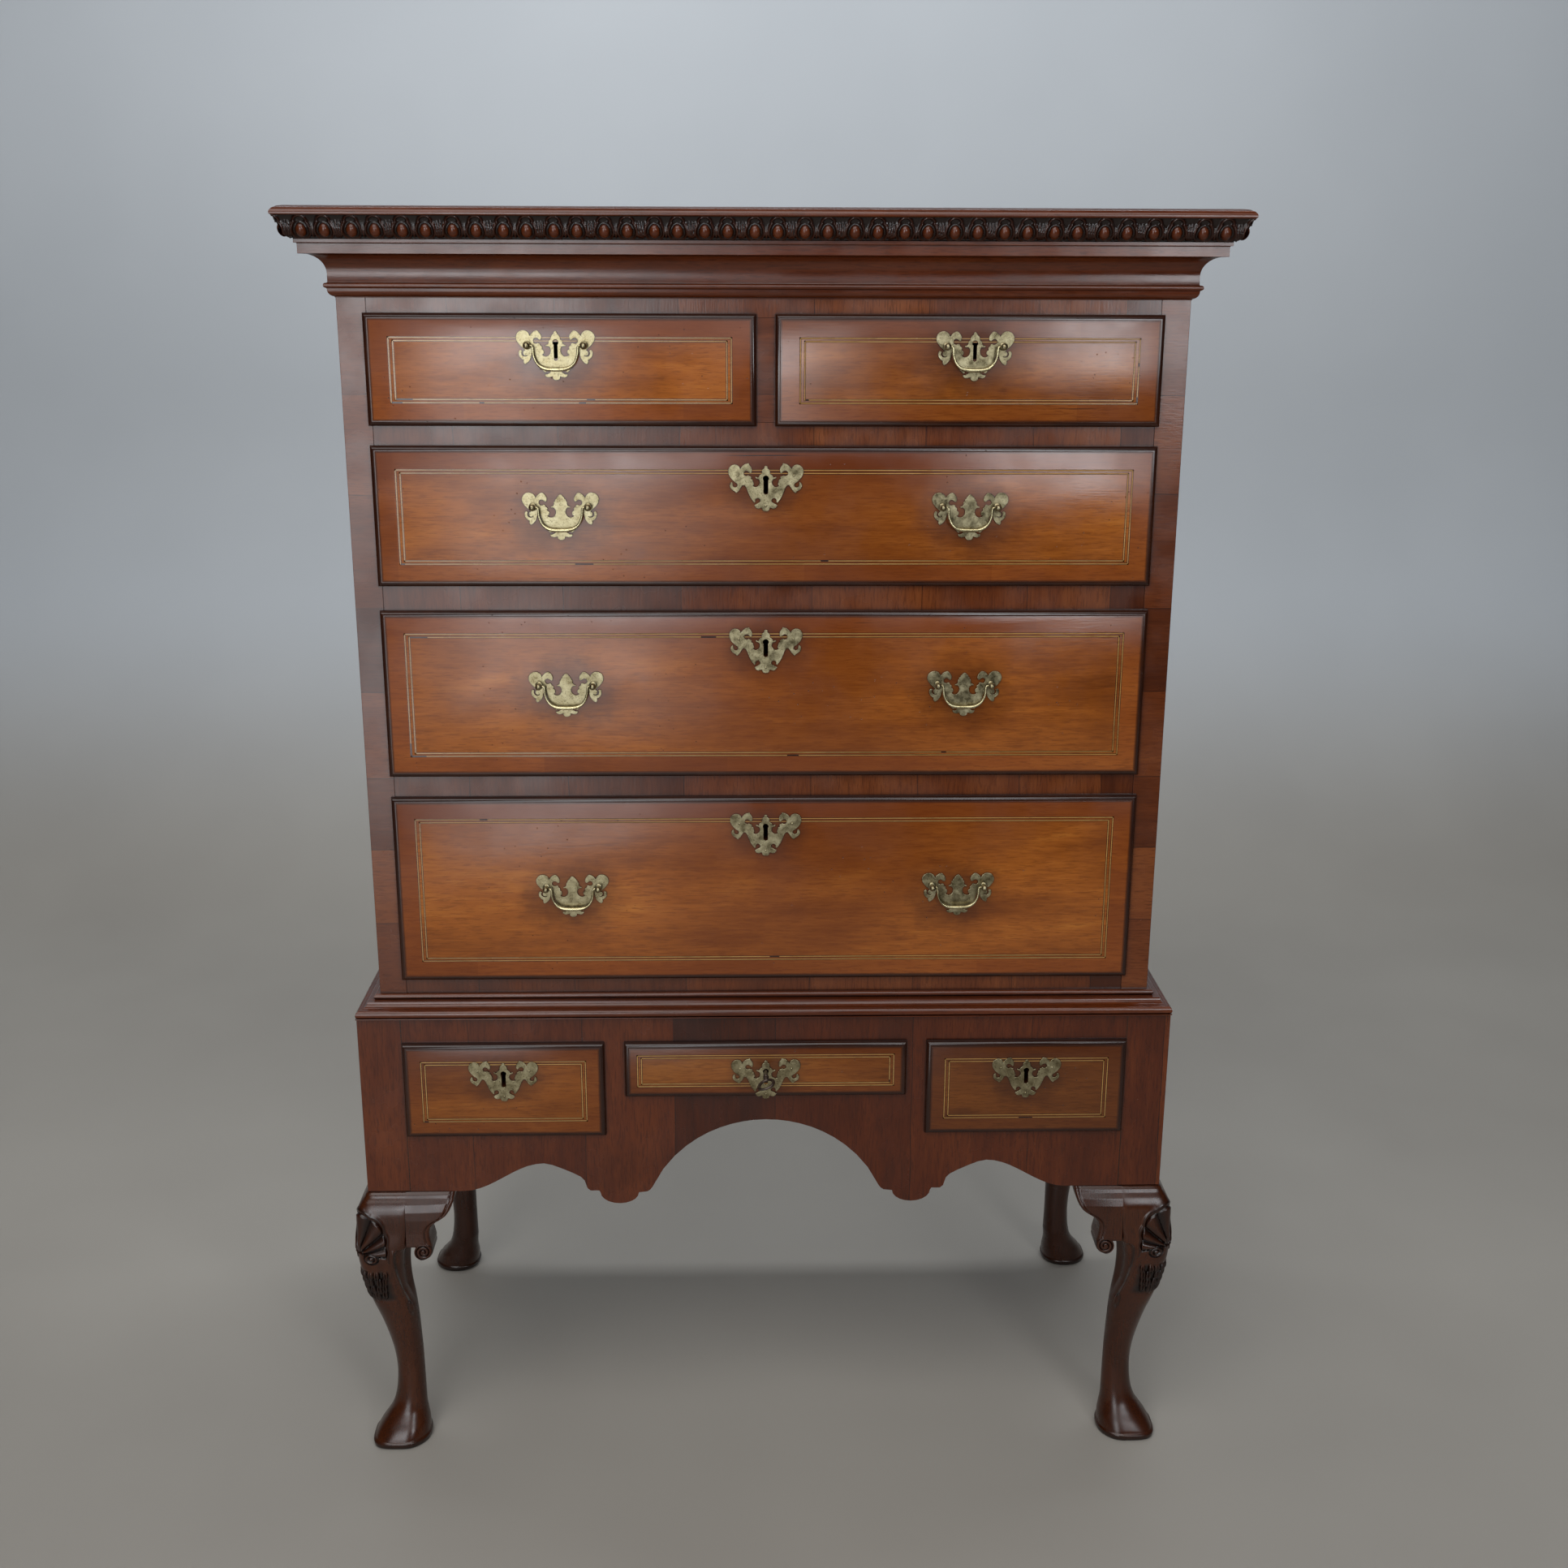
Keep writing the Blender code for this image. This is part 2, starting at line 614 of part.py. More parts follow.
def build_stand():
    back_y = CASE_DEPTH
    build_leg("leg_front_left", -1, -1, STAND_FRONT, ("front", "side"))
    build_leg("leg_front_right", 1, -1, STAND_FRONT, ("front", "side"))
    build_leg("leg_back_left", -1, 1, back_y, ("side",))
    build_leg("leg_back_right", 1, 1, back_y, ("side",))
    build_apron()

    side_drawer = next(d for d in DRAWERS if d["name"] == "stand_right_drawer")
    runner_top = side_drawer["opening"][2] - GAP
    opening_outer = side_drawer["opening"][1]
    front = STAND_FRONT + POST + GAP
    back = back_y - POST - GAP
    for name, side in (("stand_side_left", -1), ("stand_side_right", 1)):
        middle = side * (STAND_HALF - STAND_SIDE_THICKNESS / 2)
        shape = flat_shape([side_board_outline(front, back)], STAND_SIDE_THICKNESS, sideways(middle, 0, 0))
        board = add_piece(name, shape, "case_walnut", CHEST)
        inside = STAND_HALF - STAND_SIDE_THICKNESS + 0.004
        for label, near, low, high in (
            ("runner", opening_outer - 0.012, runner_top - 0.015, runner_top),
            ("guide", opening_outer + FRONT_FIT, runner_top - 0.010, runner_top + GUIDE_HEIGHT),
        ):
            ends = sorted((side * near, side * inside))
            combine(board, box((ends[0], front, low), (ends[1], back, high)), "UNION", label)

    rail_half = STAND_HALF - POST - GAP
    shape = box((-rail_half, STAND_BACK_INSIDE, LEG_HEIGHT), (rail_half, back_y, STAND_TOP))
    add_piece("stand_back_rail", shape, "back_board", CHEST)

    build_runner_frame(runner_top)
    shape = moulding(waist_profile(), CASE_HALF, 0, CASE_DEPTH)
    shade_round(add_piece("stand_waist_moulding", shape, "dark_moulding", CHEST), 30)


def build_runner_frame(side_runner_top):
    """Two partitions between the stand's drawers, with runners on both sides, joined by a cross rail."""
    centre = next(d for d in DRAWERS if d["name"] == "stand_centre_drawer")
    side = next(d for d in DRAWERS if d["name"] == "stand_right_drawer")
    near = centre["opening"][1] + GAP
    far = side["opening"][0] - GAP
    front = STAND_FRONT + APRON_THICKNESS + GAP
    back = STAND_BACK_INSIDE - GAP
    low = side_runner_top - RUNNER_HEIGHT
    top = STAND_TOP - 0.001
    centre_top = centre["opening"][2] - GAP
    centre_low = centre_top - RUNNER_HEIGHT
    section = [
        (near, low),
        (far + RUNNER_WIDTH, low),
        (far + RUNNER_WIDTH, side_runner_top),
        (far, side_runner_top),
        (far, top),
        (near, top),
        (near, centre_top),
        (near - RUNNER_WIDTH, centre_top),
        (near - RUNNER_WIDTH, centre_low),
        (near, centre_low),
    ]
    reach = (near + far) / 2
    rail = box((-reach, back - 0.020, low + 0.002), (reach, back - 0.001, low + 0.038))
    frame = add_piece("stand_drawer_runner_frame", rail, "drawer_lining", CHEST)
    for label, end in (("left", -1), ("right", 1)):
        ends = [[(end * x, y, z) for x, z in section] for y in (front, back)]
        combine(frame, loft(ends), "UNION", f"partition_{label}")


def waist_profile():
    """Lower bead, hollow, fillet and upper bead: (outwards, up)."""
    low = STAND_TOP + GAP
    out = STAND_OVERHANG
    lower = arc(out - 0.0055, 0.0055, 0.0055, -30, 90, 4)
    hollow = arc(out - 0.0060, 0.0190, 0.0075, 245, 190, 3)
    upper = arc(0.0045, 0.0215, 0.0040, 0, 90, 3)
    shape = [(GAP, 0), (out, 0)] + lower + hollow + [(0.0085, 0.0185)] + upper + [(GAP, WAIST_HEIGHT - GAP)]
    return [(a, low + b) for a, b in shape]


# ---------------------------------------------------------------- drawers
def drawer_place(name, left, right, low, high, stand, handles, keyholes):
    """Everything that a drawer's pieces need: lip, opening, face and brasses."""
    opening = (left + LIP_OVERLAP, right - LIP_OVERLAP, low + LIP_OVERLAP, high - LIP_OVERLAP)
    frame = STAND_FRONT if stand else 0.0
    return {
        "name": name,
        "lip": (left, right, low, high),
        "opening": opening,
        "stand": stand,
        "frame": frame,
        "face": frame - LIP_PROUD,
        "handles": handles,
        "keyholes": keyholes,
    }


def plan_drawers():
    drawers = []
    low, high = ROWS[-1]
    inner = TOP_DIVIDER_SHOWING / 2
    for word, side in (("left", -1), ("right", 1)):
        ends = sorted((side * inner, side * LIP_HALF))
        place = (side * LONG_HANDLE_X, high - TOP_HANDLE_DROP)
        drawers.append(
            drawer_place(f"top_{word}_drawer", *ends, low, high, False, {word: place}, {})
        )
    names = ("lower_long_drawer", "middle_long_drawer", "upper_long_drawer")
    for name, row, drop, key in zip(names, ROWS, LONG_HANDLE_DROP, LONG_KEYHOLE_DROP):
        handles = {
            "left": (-LONG_HANDLE_X, row[1] - drop),
            "right": (LONG_HANDLE_X, row[1] - drop),
        }
        keyhole = (0.0, row[1] - key)
        drawers.append(drawer_place(name, -LIP_HALF, LIP_HALF, *row, False, handles, keyhole))
    top = STAND_DRAWER_TOP
    for word, side in (("left", -1), ("right", 1)):
        ends = sorted((side * SIDE_DRAWER_INNER, side * SIDE_DRAWER_OUTER))
        keyhole = (sum(ends) / 2, top - SIDE_KEYHOLE_DROP)
        low = top - SIDE_DRAWER_HEIGHT
        drawers.append(drawer_place(f"stand_{word}_drawer", *ends, low, top, True, {}, keyhole))
    low = top - CENTRE_DRAWER_HEIGHT
    keyhole = (0.0, top - CENTRE_KEYHOLE_DROP)
    half = CENTRE_DRAWER_HALF
    drawers.append(drawer_place("stand_centre_drawer", -half, half, low, top, True, {}, keyhole))
    return drawers


def front_shape(drawer):
    """A lipped front: a plate with rounded front edges and the body behind it, inside the opening."""
    left, right, low, high = drawer["lip"]
    shape = box((left, drawer["face"], low), (right, drawer["frame"] - GAP, high))
    front_edges = [e for e in shape.edges if all(v.co.y < drawer["face"] + 1e-6 for v in e.verts)]
    bmesh.ops.bevel(shape, geom=front_edges, offset=LIP_ROUND, segments=3, profile=0.5, affect="EDGES")
    back = max(shape.faces, key=lambda face: face.calc_center_median().y)
    inset = LIP_OVERLAP + FRONT_FIT
    bmesh.ops.inset_region(shape, faces=[back], thickness=inset, use_even_offset=True)
    grown = bmesh.ops.extrude_face_region(shape, geom=[back])
    moved = [item for item in grown["geom"] if isinstance(item, bmesh.types.BMVert)]
    bmesh.ops.translate(shape, vec=(0, FRONT_BODY, 0), verts=moved)
    bmesh.ops.delete(shape, geom=[back], context="FACES_ONLY")
    return shape


def build_drawer(drawer):
    name = drawer["name"]
    left, right, low, high = drawer["opening"]
    middle = ((left + right) / 2, drawer["face"], (low + high) / 2)
    slider = new_empty(f"{name}_slide", middle, CHEST)
    front = add_piece(f"{name}_front", front_shape(drawer), "drawer_veneer", slider, middle)

    start = drawer["frame"] + FRONT_BODY
    depth_limit = STAND_BACK_INSIDE - 0.020 - BOX_STOP if drawer["stand"] else CASE_BACK_INSIDE - BOX_STOP
    corner_low = Vector((left + BOX_FIT, start, low + GAP))
    corner_high = Vector((right - BOX_FIT, depth_limit, high - BOX_HEADROOM))
    tray = add_piece(f"{name}_box", box(corner_low, corner_high), "drawer_lining", slider, middle)
    hollow = box(
        corner_low + Vector((BOX_SIDE, -0.005, BOX_BOTTOM)),
        corner_high + Vector((-BOX_SIDE, -BOX_SIDE, 0.005)),
    )
    combine(tray, hollow, "DIFFERENCE", "hollow")

    for word, place in drawer["handles"].items():
        label = name if len(drawer["handles"]) == 1 else f"{name}_{word}"
        build_handle(label, drawer, slider, place, keyed=not drawer["keyholes"])
        if not drawer["keyholes"]:
            cut_keyhole(front, drawer, place[0], place[1] + TOP_KEYHOLE_RISE)
    if drawer["keyholes"]:
        x, z = drawer["keyholes"]
        cut_keyhole(front, drawer, x, z)
        shape = flat_shape(
            [mirrored(escutcheon_half()), keyhole_outline(*PLATE_KEYHOLE)],
            PLATE_THICKNESS,
            upright(x, drawer["face"] - GAP - PLATE_THICKNESS / 2, z),
        )
        add_piece(f"{name}_escutcheon", shape, "aged_brass", slider, (x, drawer["face"], z))
    return front, slider


def cut_keyhole(front, drawer, x, z):
    depth = LIP_PROUD + FRONT_BODY + 0.004
    middle = drawer["face"] + depth / 2 - 0.002
    outline = keyhole_outline(KEYHOLE_RADIUS, KEYHOLE_SLOT, KEYHOLE_LENGTH)
    combine(front, flat_shape([outline], depth, upright(x, middle, z)), "DIFFERENCE", "keyhole")


# ---------------------------------------------------------------- brasses
PLATE_KEYHOLE = (KEYHOLE_RADIUS + 0.0004, KEYHOLE_SLOT + 0.0008, KEYHOLE_LENGTH + 0.0004)
TOP_KEYHOLE_RISE = 0.002  # keyhole above the posts on a handle plate that has one


def escutcheon_half():
    """Right half of a fretted escutcheon, top to bottom, about the middle of the keyhole's round part."""
    top = arc(0, 12.0, 2.2, 90, 0, 2)
    crown = [(4.8, 7.6), (4.6, 5.8), (8.2, 3.6), (11.2, 1.4), (8.0, 0.0)]
    bay = arc(11.6, -5.0, 4.0, 165, 290, 3)
    leaf = [(15.0, -8.0), (14.4, -2.6), (17.0, 2.0), (19.4, 3.2)]
    eye = arc(22.4, 6.0, 3.0, 225, 510, 5)
    hook = [(17.0, 7.4), (16.6, 11.0), (20.9, 16.0), (26.7, 14.2), (29.5, 11.0)]
    lobe = arc(36.2, 8.6, 7.0, 130, -60, 5)
    neck = [(36.2, -3.4)]
    lower_eye = arc(35.9, -7.0, 2.8, 110, 350, 4)
    lower_hook = [(39.6, -4.2), (41.4, -8.6), (38.4, -13.4), (33.7, -16.4), (29.6, -12.6), (27.0, -8.0)]
    waist = [(23.4, -8.0), (20.4, -14.0), (18.6, -20.0), (13.1, -27.8)]
    pierced = arc(9.4, -25.2, 2.9, -10, 290, 4)
    foot = [(12.4, -30.8), (8.8, -33.8), (4.4, -33.4), (0, -37.0)]
    shape = top + crown + bay + leaf + eye + hook + lobe + neck + lower_eye + lower_hook + waist + pierced + foot
    return millimetres(shape)


def handle_plate_half():
    """Right half of a fretted handle plate, top to bottom, about the middle between its posts."""
    tree = [(0, 14.0), (5.0, 9.6), (7.6, 4.6), (10.8, -0.6), (6.6, -2.0)]
    bay = arc(10.8, -7.6, 4.4, 160, 300, 3)
    leaf = [(13.4, -8.0), (15.0, -3.6), (18.8, 1.2)]
    eye = arc(21.6, 4.6, 3.1, 225, 510, 5)
    hook = [(16.0, 6.6), (16.4, 12.0), (21.4, 15.9), (25.5, 14.4), (28.5, 10.6)]
    lobe = arc(36.9, 8.6, 7.3, 140, -65, 5)
    neck = [(36.4, -3.4)]
    lower_eye = arc(33.6, -8.2, 2.8, 60, 340, 4)
    lower_hook = [(38.9, -6.2), (41.0, -10.4), (38.0, -16.6), (35.0, -20.0), (29.8, -17.0), (27.2, -12.0)]
    waist = [(25.6, -10.0), (22.4, -14.0), (20.4, -20.0), (12.6, -30.0)]
    pierced = arc(8.8, -28.0, 2.9, -20, 280, 4)
    foot = [(11.4, -32.6), (8.6, -35.0), (4.4, -34.6), (0, -38.0)]
    shape = tree + bay + leaf + eye + hook + lobe + neck + lower_eye + lower_hook + waist + pierced + foot
    return millimetres(shape)


def post_profile():
    """A turned post from the plate outwards: (radius, distance from the plate)."""
    ball = arc(0, 0, POST_BALL_RADIUS, -50, 60, 3)
    ball = [(radius, BALL_REACH + along) for radius, along in ball]
    base = [(POST_BASE_RADIUS, 0), (POST_BASE_RADIUS, 0.0020), (POST_STEM_RADIUS, 0.0028)]
    return base + ball


def post_shape(x, y, z):
    """Lathes the post's profile about an axis that points forward."""
    sides = 8
    rings = []
    for radius, along in post_profile():
        angles = [2 * math.pi * (i + 0.5) / sides for i in range(sides)]
        rings.append([(x + radius * math.cos(a), y - along, z + radius * math.sin(a)) for a in angles])
    return loft(rings)


def bail_points():
    """The bail's centre line in its own frame, from the left pin to the right: (x, z, radius)."""
    pin_end = POST_SPACING / 2 - POST_STEM_RADIUS + PIN_DEPTH
    turn = BAIL_HALF_WIDTH
    half = [
        (pin_end, 0.0, BAIL_PIN_RADIUS),
        (turn + 0.0028, 0.0, BAIL_PIN_RADIUS),
        (turn + 0.0008, -0.0008, BAIL_ARM_RADIUS),
        (turn, -0.0030, BAIL_ARM_RADIUS),
    ]
    steps = 7
    for i in range(1, steps + 1):
        angle = math.pi / 2 * i / steps
        across = turn * math.cos(angle) ** 0.62
        down = 0.0060 + (BAIL_DROP - 0.0060) * math.sin(angle) ** 1.05
        swell = (BAIL_GRIP_RADIUS - BAIL_ARM_RADIUS) * math.sin(angle) ** 4
        half.append((across, -down, BAIL_ARM_RADIUS + swell))
    left = [(-x, z, radius) for x, z, radius in half[:-1]]
    right = list(reversed(half[:-1]))
    middle = [(0.0, -BAIL_DROP, BAIL_GRIP_RADIUS)]
    return left + middle + right


def bail_shape(x, y, z):
    curve = bpy.data.curves.new("bail", "CURVE")
    curve.dimensions = "3D"
    curve.bevel_depth = BAIL_ARM_RADIUS
    curve.bevel_resolution = 1
    curve.use_fill_caps = True
    points = bail_points()
    spline = curve.splines.new("POLY")
    spline.points.add(len(points) - 1)
    for point, (across, up, radius) in zip(spline.points, points):
        point.co = (x + across, y, z + up, 1)
        point.radius = radius / BAIL_ARM_RADIUS
    guide = bpy.data.objects.new("bail", curve)
    bpy.context.scene.collection.objects.link(guide)
    return mesh_from_curve(guide)


def build_handle(label, drawer, slider, place, keyed):
    x, z = place
    back = drawer["face"] - GAP
    loops = [mirrored(handle_plate_half())]
    if keyed:
        loops.append([(a, u + TOP_KEYHOLE_RISE) for a, u in keyhole_outline(*PLATE_KEYHOLE)])
    front = back - PLATE_THICKNESS
    shape = flat_shape(loops, PLATE_THICKNESS, upright(x, (front + back) / 2, z))
    plate = add_piece(f"{label}_handle_plate", shape, "aged_brass", slider, (x, back, z))
    pivot_y = front - PIVOT_REACH
    for word, side in (("left", -1), ("right", 1)):
        post_x = x + side * POST_SPACING / 2
        combine(plate, post_shape(post_x, front + PLATE_THICKNESS / 2, z), "UNION", f"post_{word}")
        inner = post_x - side * (POST_STEM_RADIUS + 0.002)
        end = post_x - side * (POST_STEM_RADIUS - PIN_DEPTH - GAP)
        hole = rod((inner, pivot_y, z), (end, pivot_y, z), PIN_HOLE_RADIUS, 8)
        combine(plate, hole, "DIFFERENCE", f"pin_hole_{word}")
    bail = add_piece(f"{label}_bail", bail_shape(x, pivot_y, z), "aged_brass", slider, (x, pivot_y, z))
    shade_round(bail, 60)


def build_key(front, drawer, slider):
    """The key stands in the centre stand drawer, on the axis of the keyhole's round part."""
    x, z = drawer["keyholes"]
    face = drawer["face"] - GAP - PLATE_THICKNESS
    inside = drawer["frame"] + FRONT_BODY - 0.001
    shank_end = face - KEY_SHANK_OUT
    axis = (x, face, z)
    shank = rod((x, inside, z), (x, shank_end, z), KEY_SHANK_RADIUS, 12)
    key = add_piece("key", shank, "old_iron", slider, axis)
    shade_round(key, 40)
    collar = rod((x, face - 0.018, z), (x, face - 0.021, z), KEY_SHANK_RADIUS + 0.0014, 12)
    combine(key, collar, "UNION", "collar")
    key_bit = box(
        (x - 0.0012, inside - 0.006, z - KEY_SHANK_RADIUS - KEY_BIT),
        (x + 0.0012, inside - 0.001, z - KEY_SHANK_RADIUS / 2),
    )
    combine(key, key_bit, "UNION", "bit")
    combine(key, bow_shape(x, shank_end, z), "UNION", "bow")
    recess_start = drawer["frame"] + FRONT_BODY - LOCK_RECESS_DEPTH
    recess_end = drawer["frame"] + FRONT_BODY + 0.002
    recess = rod((x, recess_start, z), (x, recess_end, z), LOCK_RECESS_RADIUS, 16)
    combine(front, recess, "DIFFERENCE", "lock_recess")


def bow_shape(x, shank_end, z):
    """The key's oval ring, which lies along the shank and is turned a little about it."""
    rings = []
    around = 16
    sides = 8
    middle_y = shank_end - KEY_BOW_LENGTH / 2 - KEY_BOW_WIRE + 0.002
    for i in range(around):
        angle = 2 * math.pi * i / around
        across = Vector((math.cos(angle), math.sin(angle)))
        ring = []
        for j in range(sides):
            turn = 2 * math.pi * j / sides
            out = KEY_BOW_WIRE * math.cos(turn)
            side = (KEY_BOW_WIDTH / 2 + out) * across.x
            along = (KEY_BOW_LENGTH / 2 + out) * across.y
            up = KEY_BOW_WIRE * math.sin(turn)
            tilt_x = side * math.cos(KEY_TURN) - up * math.sin(KEY_TURN)
            tilt_z = side * math.sin(KEY_TURN) + up * math.cos(KEY_TURN)
            ring.append((x + tilt_x, middle_y + along, z + tilt_z))
        rings.append(ring)
    shape = bmesh.new()
    loops = [[shape.verts.new(point) for point in ring] for ring in rings]
    for lower, upper in zip(loops, loops[1:] + loops[:1]):
        for i in range(sides):
            j = (i + 1) % sides
            shape.faces.new((lower[i], lower[j], upper[j], upper[i]))
    return shape


# ---------------------------------------------------------------- build
clear_scene()
PARTS = new_collection("tall_chest_of_drawers")
CUTTERS = new_collection("cutters")
CHEST = new_empty("chest", (0, 0, 0))
CHEST.location = (0, -MIDDLE_Y, 0)
DRAWERS = plan_drawers()
build_case()
build_cornice()
build_stand()
for planned in DRAWERS:
    drawer_front, drawer_slide = build_drawer(planned)
    if planned["name"] == "stand_centre_drawer":
        build_key(drawer_front, planned, drawer_slide)
bpy.context.view_layer.update()
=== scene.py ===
import json
import math
import random

import bmesh
import bpy
import numpy as np
from mathutils import Matrix, Vector

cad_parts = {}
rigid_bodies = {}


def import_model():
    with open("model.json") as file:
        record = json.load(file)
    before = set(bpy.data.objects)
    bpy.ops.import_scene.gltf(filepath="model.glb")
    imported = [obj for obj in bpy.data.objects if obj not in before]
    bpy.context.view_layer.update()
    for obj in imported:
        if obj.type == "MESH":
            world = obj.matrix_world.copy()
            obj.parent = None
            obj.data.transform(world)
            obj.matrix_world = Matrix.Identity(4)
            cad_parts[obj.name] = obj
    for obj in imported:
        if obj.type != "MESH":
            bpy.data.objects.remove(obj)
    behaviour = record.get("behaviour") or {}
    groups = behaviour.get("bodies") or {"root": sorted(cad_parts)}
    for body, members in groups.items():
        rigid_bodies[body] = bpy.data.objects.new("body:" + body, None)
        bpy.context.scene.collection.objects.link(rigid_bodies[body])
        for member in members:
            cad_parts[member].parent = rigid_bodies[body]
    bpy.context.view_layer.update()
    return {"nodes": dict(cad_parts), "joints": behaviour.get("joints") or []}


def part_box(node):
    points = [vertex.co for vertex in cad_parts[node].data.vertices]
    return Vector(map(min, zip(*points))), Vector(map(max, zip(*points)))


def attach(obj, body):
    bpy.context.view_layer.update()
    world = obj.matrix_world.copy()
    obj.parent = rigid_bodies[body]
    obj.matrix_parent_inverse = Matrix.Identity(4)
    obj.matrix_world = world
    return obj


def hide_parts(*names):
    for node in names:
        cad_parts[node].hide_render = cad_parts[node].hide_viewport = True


for old in list(bpy.data.objects):
    bpy.data.objects.remove(old, do_unlink=True)
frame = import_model()
NODES = frame["nodes"]
JOINTS = {joint["name"]: joint.get("pos_m") for joint in frame["joints"]}  # their places

# ---------------------------------------------------------------- places read from the CAD frame (metres)
CASE_LOW, CASE_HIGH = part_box("case_side_right")
CASE_Y = CASE_LOW.y  # front plane of the case
CASE_BACK = CASE_HIGH.y
CASE_HALF = CASE_HIGH.x
APRON_LOW, APRON_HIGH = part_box("stand_front_apron")
STAND_Y = APRON_LOW.y
STAND_TOP = APRON_HIGH.z
POST_HALF = APRON_HIGH.x
WAIST_LOW, WAIST_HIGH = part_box("stand_waist_moulding")
STAND_HALF = WAIST_HIGH.x
SIDE_LOW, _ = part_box("stand_side_right")
FRAME_Z = SIDE_LOW.z
CORNICE_LOW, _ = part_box("cornice_moulding")
TOP_LOW, TOP_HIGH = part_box("cornice_top")
GAP = 0.0003
dice = random.Random(7)


# ---------------------------------------------------------------- shader helpers
class Graph:
    """Short names for the nodes that the materials are made of."""

    def __init__(self, name):
        self.material = bpy.data.materials.new(name)
        self.material.use_nodes = True
        self.tree = self.material.node_tree
        self.shader = self.tree.nodes["Principled BSDF"]
        self.place = self.tree.nodes.new("ShaderNodeTexCoord").outputs["Object"]

    def put(self, socket, value):
        if isinstance(value, bpy.types.NodeSocket):
            self.tree.links.new(value, socket)
        elif value is not None:
            socket.default_value = value

    def math(self, operation, a, b=None):
        node = self.tree.nodes.new("ShaderNodeMath")
        node.operation = operation
        self.put(node.inputs[0], a)
        self.put(node.inputs[1], b)
        return node.outputs[0]

    def add(self, a, b):
        return self.math("ADD", a, b)

    def less(self, a, b):
        return self.math("SUBTRACT", a, b)

    def times(self, a, b):
        return self.math("MULTIPLY", a, b)

    def sway(self, value, noise, amount):
        """value moved up and down by a noise that runs from 0 to 1."""
        return self.add(value, self.times(self.less(noise, 0.5), amount))

    def split(self, vector=None):
        node = self.tree.nodes.new("ShaderNodeSeparateXYZ")
        self.put(node.inputs[0], vector or self.place)
        return node.outputs

    def stretch(self, scale, offset=(0, 0, 0)):
        node = self.tree.nodes.new("ShaderNodeMapping")
        self.put(node.inputs["Vector"], self.place)
        node.inputs["Scale"].default_value = scale
        node.inputs["Location"].default_value = offset
        return node.outputs[0]

    def noise(self, vector, scale=1.0, detail=4.0, roughness=0.55, distortion=0.0):
        node = self.tree.nodes.new("ShaderNodeTexNoise")
        self.put(node.inputs["Vector"], vector)
        node.inputs["Scale"].default_value = scale
        node.inputs["Detail"].default_value = detail
        node.inputs["Roughness"].default_value = roughness
        node.inputs["Distortion"].default_value = distortion
        return node.outputs[0]

    def cells(self, w, scale, feature="F1"):
        """Patches along one line: their random colour, or the distance to their edges."""
        node = self.tree.nodes.new("ShaderNodeTexVoronoi")
        node.voronoi_dimensions = "1D"
        node.feature = feature
        self.put(node.inputs["W"], w)
        node.inputs["Scale"].default_value = scale
        return node.outputs["Color"] if feature == "F1" else node.outputs["Distance"]

    def dots(self, vector, scale):
        """Distance to the nearest of many scattered points."""
        node = self.tree.nodes.new("ShaderNodeTexVoronoi")
        self.put(node.inputs["Vector"], vector)
        node.inputs["Scale"].default_value = scale
        return node.outputs["Distance"]

    def span(self, value, low, high, to_low=0.0, to_high=1.0):
        node = self.tree.nodes.new("ShaderNodeMapRange")
        node.interpolation_type = "SMOOTHSTEP"
        self.put(node.inputs["Value"], value)
        node.inputs["From Min"].default_value = low
        node.inputs["From Max"].default_value = high
        node.inputs["To Min"].default_value = to_low
        node.inputs["To Max"].default_value = to_high
        return node.outputs[0]

    def ramp(self, factor, stops):
        node = self.tree.nodes.new("ShaderNodeValToRGB")
        self.put(node.inputs[0], factor)
        line = node.color_ramp
        while len(line.elements) < len(stops):
            line.elements.new(0.5)
        for element, (place, colour) in zip(line.elements, stops):
            element.position = place
            element.color = (*colour, 1.0)
        return node.outputs[0]

    def mix(self, factor, a, b, blend="MIX"):
        node = self.tree.nodes.new("ShaderNodeMix")
        node.data_type = "RGBA"
        node.blend_type = blend
        node.clamp_factor = True
        self.put(node.inputs[0], factor)
        self.put(node.inputs[6], a if isinstance(a, bpy.types.NodeSocket) else (*a, 1.0))
        self.put(node.inputs[7], b if isinstance(b, bpy.types.NodeSocket) else (*b, 1.0))
        return node.outputs[2]

    def bump(self, height, strength, distance, normal=None):
        node = self.tree.nodes.new("ShaderNodeBump")
        node.inputs["Strength"].default_value = strength
        node.inputs["Distance"].default_value = distance
        self.put(node.inputs["Height"], height)
        self.put(node.inputs["Normal"], normal)
        return node.outputs[0]

    def crevice(self, distance, strength):
        """1 on open surfaces, down towards 1 - strength in corners and steps."""
        node = self.tree.nodes.new("ShaderNodeAmbientOcclusion")
        node.samples = 6
        node.inputs["Distance"].default_value = distance
        return self.span(node.outputs["AO"], 0.35, 0.92, 1.0 - strength, 1.0)

    def finish(self, colour, roughness, normal=None, metallic=0.0):
        inputs = self.shader.inputs
        self.put(inputs["Base Color"], colour)
        self.put(inputs["Roughness"], roughness)
        self.put(inputs["Normal"], normal)
        inputs["Metallic"].default_value = metallic
        return self.material


